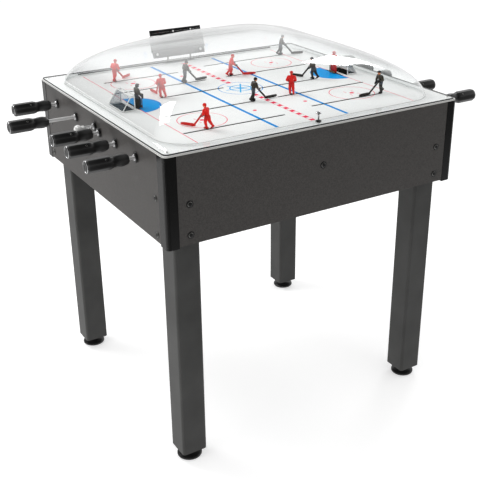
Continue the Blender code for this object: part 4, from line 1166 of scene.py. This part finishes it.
# Two counting beads on a wire between the ledges
along_bar = Matrix.Rotation(math.pi / 2, 4, "Y")
bead_profile = [(0.0010, -0.0026), (0.0024, -0.0020), (0.0029, 0.0), (0.0024, 0.0020), (0.0010, 0.0026)]
shape = bmesh.new()
for place_share in (0.45, 0.8):
    centre = (-bar_half + 2 * bar_half * place_share, 0.0012, bar_middle)
    turned(shape, bead_profile, 20, Matrix.Translation(centre) @ along_bar)
add_board_piece("scoreboard_beads", shape, bead_finish)
shape = bmesh.new()
bead_wire_profile = [(0.0006, -0.092), (0.0006, 0.092)]
turned(shape, bead_wire_profile, 10, Matrix.Translation((0.002, 0.0010, bar_middle)) @ along_bar)
add_board_piece("scoreboard_bead_wire", shape, chrome_finish)
finish_nodes(["scoreboard_bracket"], zinc_finish, 0.0006)


# Puck ejector
# Chromed mushroom knob on a thin stem, which slides in a black grommet in the near rim against a spring.

knob = middle_of("puck_ejector")
knob_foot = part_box("puck_ejector")[1][2] - 0.028
knob_profile = [(0.0032, -0.012), (0.0032, 0.0), (0.0029, 0.004), (0.0025, 0.010), (0.0027, 0.0165),
                (0.0036, 0.0195), (0.0060, 0.0215), (0.0079, 0.0229), (0.0084, 0.0242), (0.0083, 0.0254),
                (0.0074, 0.0268), (0.0055, 0.0275), (0.0020, 0.0278)]
grommet_section = [(0.0034, 0.0001), (0.0086, 0.0001), (0.0088, 0.0008), (0.0080, 0.0020), (0.0062, 0.0026),
                   (0.0048, 0.0036), (0.0036, 0.0036)]
shape = bmesh.new()
turned(shape, knob_profile, 40)
ejector = add_piece("ejector_knob", shape, chrome_finish, "puck_ejector", (knob.x, knob.y, knob_foot))
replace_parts(ejector, "puck_ejector")
shape = bmesh.new()
turned_ring(shape, grommet_section, 40, Matrix.Translation((knob.x, knob.y, flange_top)))
add_piece("ejector_grommet", shape, seal_finish, "cabinet")


# Bolts
# Button-head bolts of oxide-grey steel on black washers, screwed in with a hexagon key: two at each corner of
# each face hold the legs through the boards, and one more sits in the middle of each long side.

# Steel with a worn grey oxide: its rims catch the light
bolt_finish, tree, shader = start_finish("grey_oxide_steel", Base_Color=paint("#8a8a87"), Metallic=0.8)
polished(tree, shader, grain(tree, 260), 0.3, 0.45)
head_profile = [(0.0071, 0.0), (0.0074, 0.0005), (0.0073, 0.0011), (0.0066, 0.0021), (0.0054, 0.0029),
                (0.0042, 0.0032), (0.0036, 0.0032), (0.0033, 0.0030)]
washer_profile = [(0.0103, 0.0), (0.0106, 0.0003), (0.0103, 0.0008), (0.0070, 0.0009)]
black_ring_profile = [(0.0060, 0.0008), (0.0060, 0.0028), (0.0046, 0.0033), (0.0034, 0.0034),
                      (0.0030, 0.0030)]
bolt_sides = 24


def socket_ring(radius, level, flat_sided):
    """Ring of a bolt's socket, round or with six flat sides."""
    points = []
    for turn in [math.tau * index / bolt_sides for index in range(bolt_sides)]:
        facet = (turn % (math.pi / 3)) - math.pi / 6
        reach = radius * math.cos(math.pi / 6) / math.cos(facet) if flat_sided else radius
        points.append((reach * math.cos(turn), reach * math.sin(turn), level))
    return points


def bolt(heads, washers, matrix):
    """Button head with a hexagon socket and a black ring round it, on its washer."""
    rings = [ring_points(radius, bolt_sides, level) for radius, level in head_profile]
    verts = skinned(heads, rings, closed=False)
    brim = socket_ring(0.0033, 0.0030, False)
    well = socket_ring(0.0029, 0.0026, True)
    verts += skinned(heads, [brim, well], closed=False)
    verts += skinned(heads, [well, socket_ring(0.0029, 0.0006, True)], closed=False)
    bmesh.ops.transform(heads, matrix=matrix, verts=verts)
    turned(washers, washer_profile, 32, matrix)
    turned(washers, black_ring_profile, bolt_sides, matrix)


side_bolt_x = 0.43
end_bolt_y = 0.397
heads, washers = bmesh.new(), bmesh.new()
near_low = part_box("side_panel_near")[0]
left_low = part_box("end_panel_left")[0]
for side, turn in ((-1, math.pi / 2), (1, -math.pi / 2)):
    facing = Matrix.Rotation(turn, 4, "X")
    side_bolts = [(x, up) for x in (-side_bolt_x, side_bolt_x) for up in (0.1165, 0.0275)] + [(0, 0.1415)]
    for x, up in side_bolts:
        bolt(heads, washers, Matrix.Translation((x, -side * near_low[1], near_low[2] + up)) @ facing)
for side, team in ((-1, "dark"), (1, "red")):
    for y in (-end_bolt_y, end_bolt_y):
        for up in (0.1265, 0.0205):
            place = (-side * left_low[0], y, left_low[2] + up)
            bolt(heads, washers, Matrix.Translation(place) @ outward[team])
add_piece("leg_bolts", heads, bolt_finish, "cabinet")
add_piece("leg_bolt_washers", washers, nylon_finish, "cabinet")


# Studio
# White paper under and behind the table, softboxes behind on the left and high on the right, two low fill
# lamps, and a room that is bright beyond the table. The camera stands at the photo's angle.

floor_finish, tree, shader = start_finish("seamless_paper", Base_Color=paint("#dcdcdc"), Roughness=0.9)
seen = add_node(tree, "ShaderNodeLightPath")
eye_rays = {0: seen.outputs["Is Camera Ray"], 1: seen.outputs["Is Transmission Ray"]}
looked_at = add_node(tree, "ShaderNodeMath", eye_rays, operation="MAXIMUM")
glow = add_node(tree, "ShaderNodeMath", {0: looked_at.outputs[0], 1: 0.46}, operation="MULTIPLY")
shader.inputs["Emission Color"].default_value = (1, 1, 1, 1)
tree.links.new(glow.outputs[0], shader.inputs["Emission Strength"])


def smooth_fade(tree, value, start, end, first, last):
    """Strength that passes smoothly from a first to a last value between two places."""
    span = {"Value": value, "From Min": start, "From Max": end, "To Min": first, "To Max": last}
    return add_node(tree, "ShaderNodeMapRange", span, interpolation_type="SMOOTHSTEP").outputs["Result"]


# Glossy things see the paper fade out towards the camera, where the studio is dark
ground = add_node(tree, "ShaderNodeTexCoord").outputs["Object"]
camera_side = {0: ground, 1: (-0.1, -0.99, 0.0)}
towards_camera = add_node(tree, "ShaderNodeVectorMath", camera_side, operation="DOT_PRODUCT")
fade = smooth_fade(tree, towards_camera.outputs["Value"], 1.0, 2.3, 0.8, 0.06)
dim = add_node(tree, "ShaderNodeEmission", {"Color": (1, 1, 1, 1), "Strength": fade})
either = {0: seen.outputs["Is Glossy Ray"], 1: shader.outputs[0], 2: dim.outputs[0]}
sorted_rays = add_node(tree, "ShaderNodeMixShader", either)
tree.links.new(sorted_rays.outputs[0], tree.nodes["Material Output"].inputs["Surface"])
floor_half = 40.0
floor_mesh = bpy.data.meshes.new("floor")
floor_corners = [(x * floor_half, y * floor_half, 0) for x, y in ((-1, -1), (1, -1), (1, 1), (-1, 1))]
floor_mesh.from_pydata(floor_corners, [], [(0, 1, 2, 3)])
floor_mesh.materials.append(floor_finish)
floor = bpy.data.objects.new("floor", floor_mesh)
bpy.context.collection.objects.link(floor)
floor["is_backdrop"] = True

world = bpy.data.worlds.new("studio")
bpy.context.scene.world = world
world.use_nodes = True
tree = world.node_tree
tree.nodes.clear()
seen = add_node(tree, "ShaderNodeLightPath")
towards = add_node(tree, "ShaderNodeTexCoord")
# What glossy things mirror: a pale wall beyond the table, dark behind the camera and above 45 degrees
direction = towards.outputs["Generated"]
beyond = add_node(tree, "ShaderNodeVectorMath", {0: direction, 1: (0.85, 0.53, 0.0)}, operation="DOT_PRODUCT")
bright = smooth_fade(tree, beyond.outputs["Value"], 0.28, 0.5, 0.05, 0.95)
height = add_node(tree, "ShaderNodeSeparateXYZ", {"Vector": direction}).outputs["Z"]
below_top = smooth_fade(tree, height, 0.66, 0.78, 1.0, 0.04)
wall = add_node(tree, "ShaderNodeMath", {0: bright, 1: below_top}, operation="MULTIPLY")
room, mirrored_room, backdrop = [
    add_node(tree, "ShaderNodeBackground", {"Color": (1, 1, 1, 1), "Strength": strength}).outputs[0]
    for strength in (0.85, wall.outputs[0], 1.0)]
glossy_rays = {0: seen.outputs["Is Glossy Ray"], 1: room, 2: mirrored_room}
lit = add_node(tree, "ShaderNodeMixShader", glossy_rays)
camera_rays = {0: seen.outputs["Is Camera Ray"], 1: lit.outputs[0], 2: backdrop}
all_rays = add_node(tree, "ShaderNodeMixShader", camera_rays)
add_node(tree, "ShaderNodeOutputWorld", {"Surface": all_rays.outputs[0]})


def add_lamp(name, place, target, width, height, power):
    """Soft lamp that faces a place."""
    lamp = bpy.data.lights.new(name, "AREA")
    lamp.shape = "RECTANGLE"
    lamp.size = width
    lamp.size_y = height
    lamp.energy = power
    holder = bpy.data.objects.new(name, lamp)
    holder.location = place
    holder.rotation_mode = "QUATERNION"
    holder.rotation_quaternion = (Vector(target) - Vector(place)).to_track_quat("-Z", "Y")
    bpy.context.collection.objects.link(holder)
    return holder


rink_centre = (0, 0, 0.95)
add_lamp("rear_left_softbox", (-1.25, 1.7, 3.1), rink_centre, 1.4, 1.25, 48)
add_lamp("right_softbox", (2.28, 0.95, 3.26), rink_centre, 0.6, 0.8, 14)
left_fill = add_lamp("left_fill", (-2.9, -0.15, 0.25), (-0.3, 0, 0.15), 1.8, 0.4, 50)
near_fill = add_lamp("near_fill", (1.3, -3.3, 0.9), (0, -0.45, 0.6), 1.8, 1.2, 18)
for lamp in (left_fill, near_fill):
    lamp.visible_glossy = False
    lamp.visible_camera = False

camera_yaw = 0.5635
camera_pitch = 0.4217
camera_data = bpy.data.cameras.new("camera")
camera_data.lens = 62.69
camera_data.sensor_width = 36
camera_data.shift_x = -0.03
camera_data.shift_y = -0.05
camera = bpy.data.objects.new("camera", camera_data)
camera.location = (-1.387, -2.3423, 1.7455)
camera.rotation_euler = (math.pi / 2 - camera_pitch, 0, -camera_yaw)
bpy.context.collection.objects.link(camera)
bpy.context.scene.camera = camera
bpy.context.scene.view_settings.view_transform = "Standard"

low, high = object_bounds()
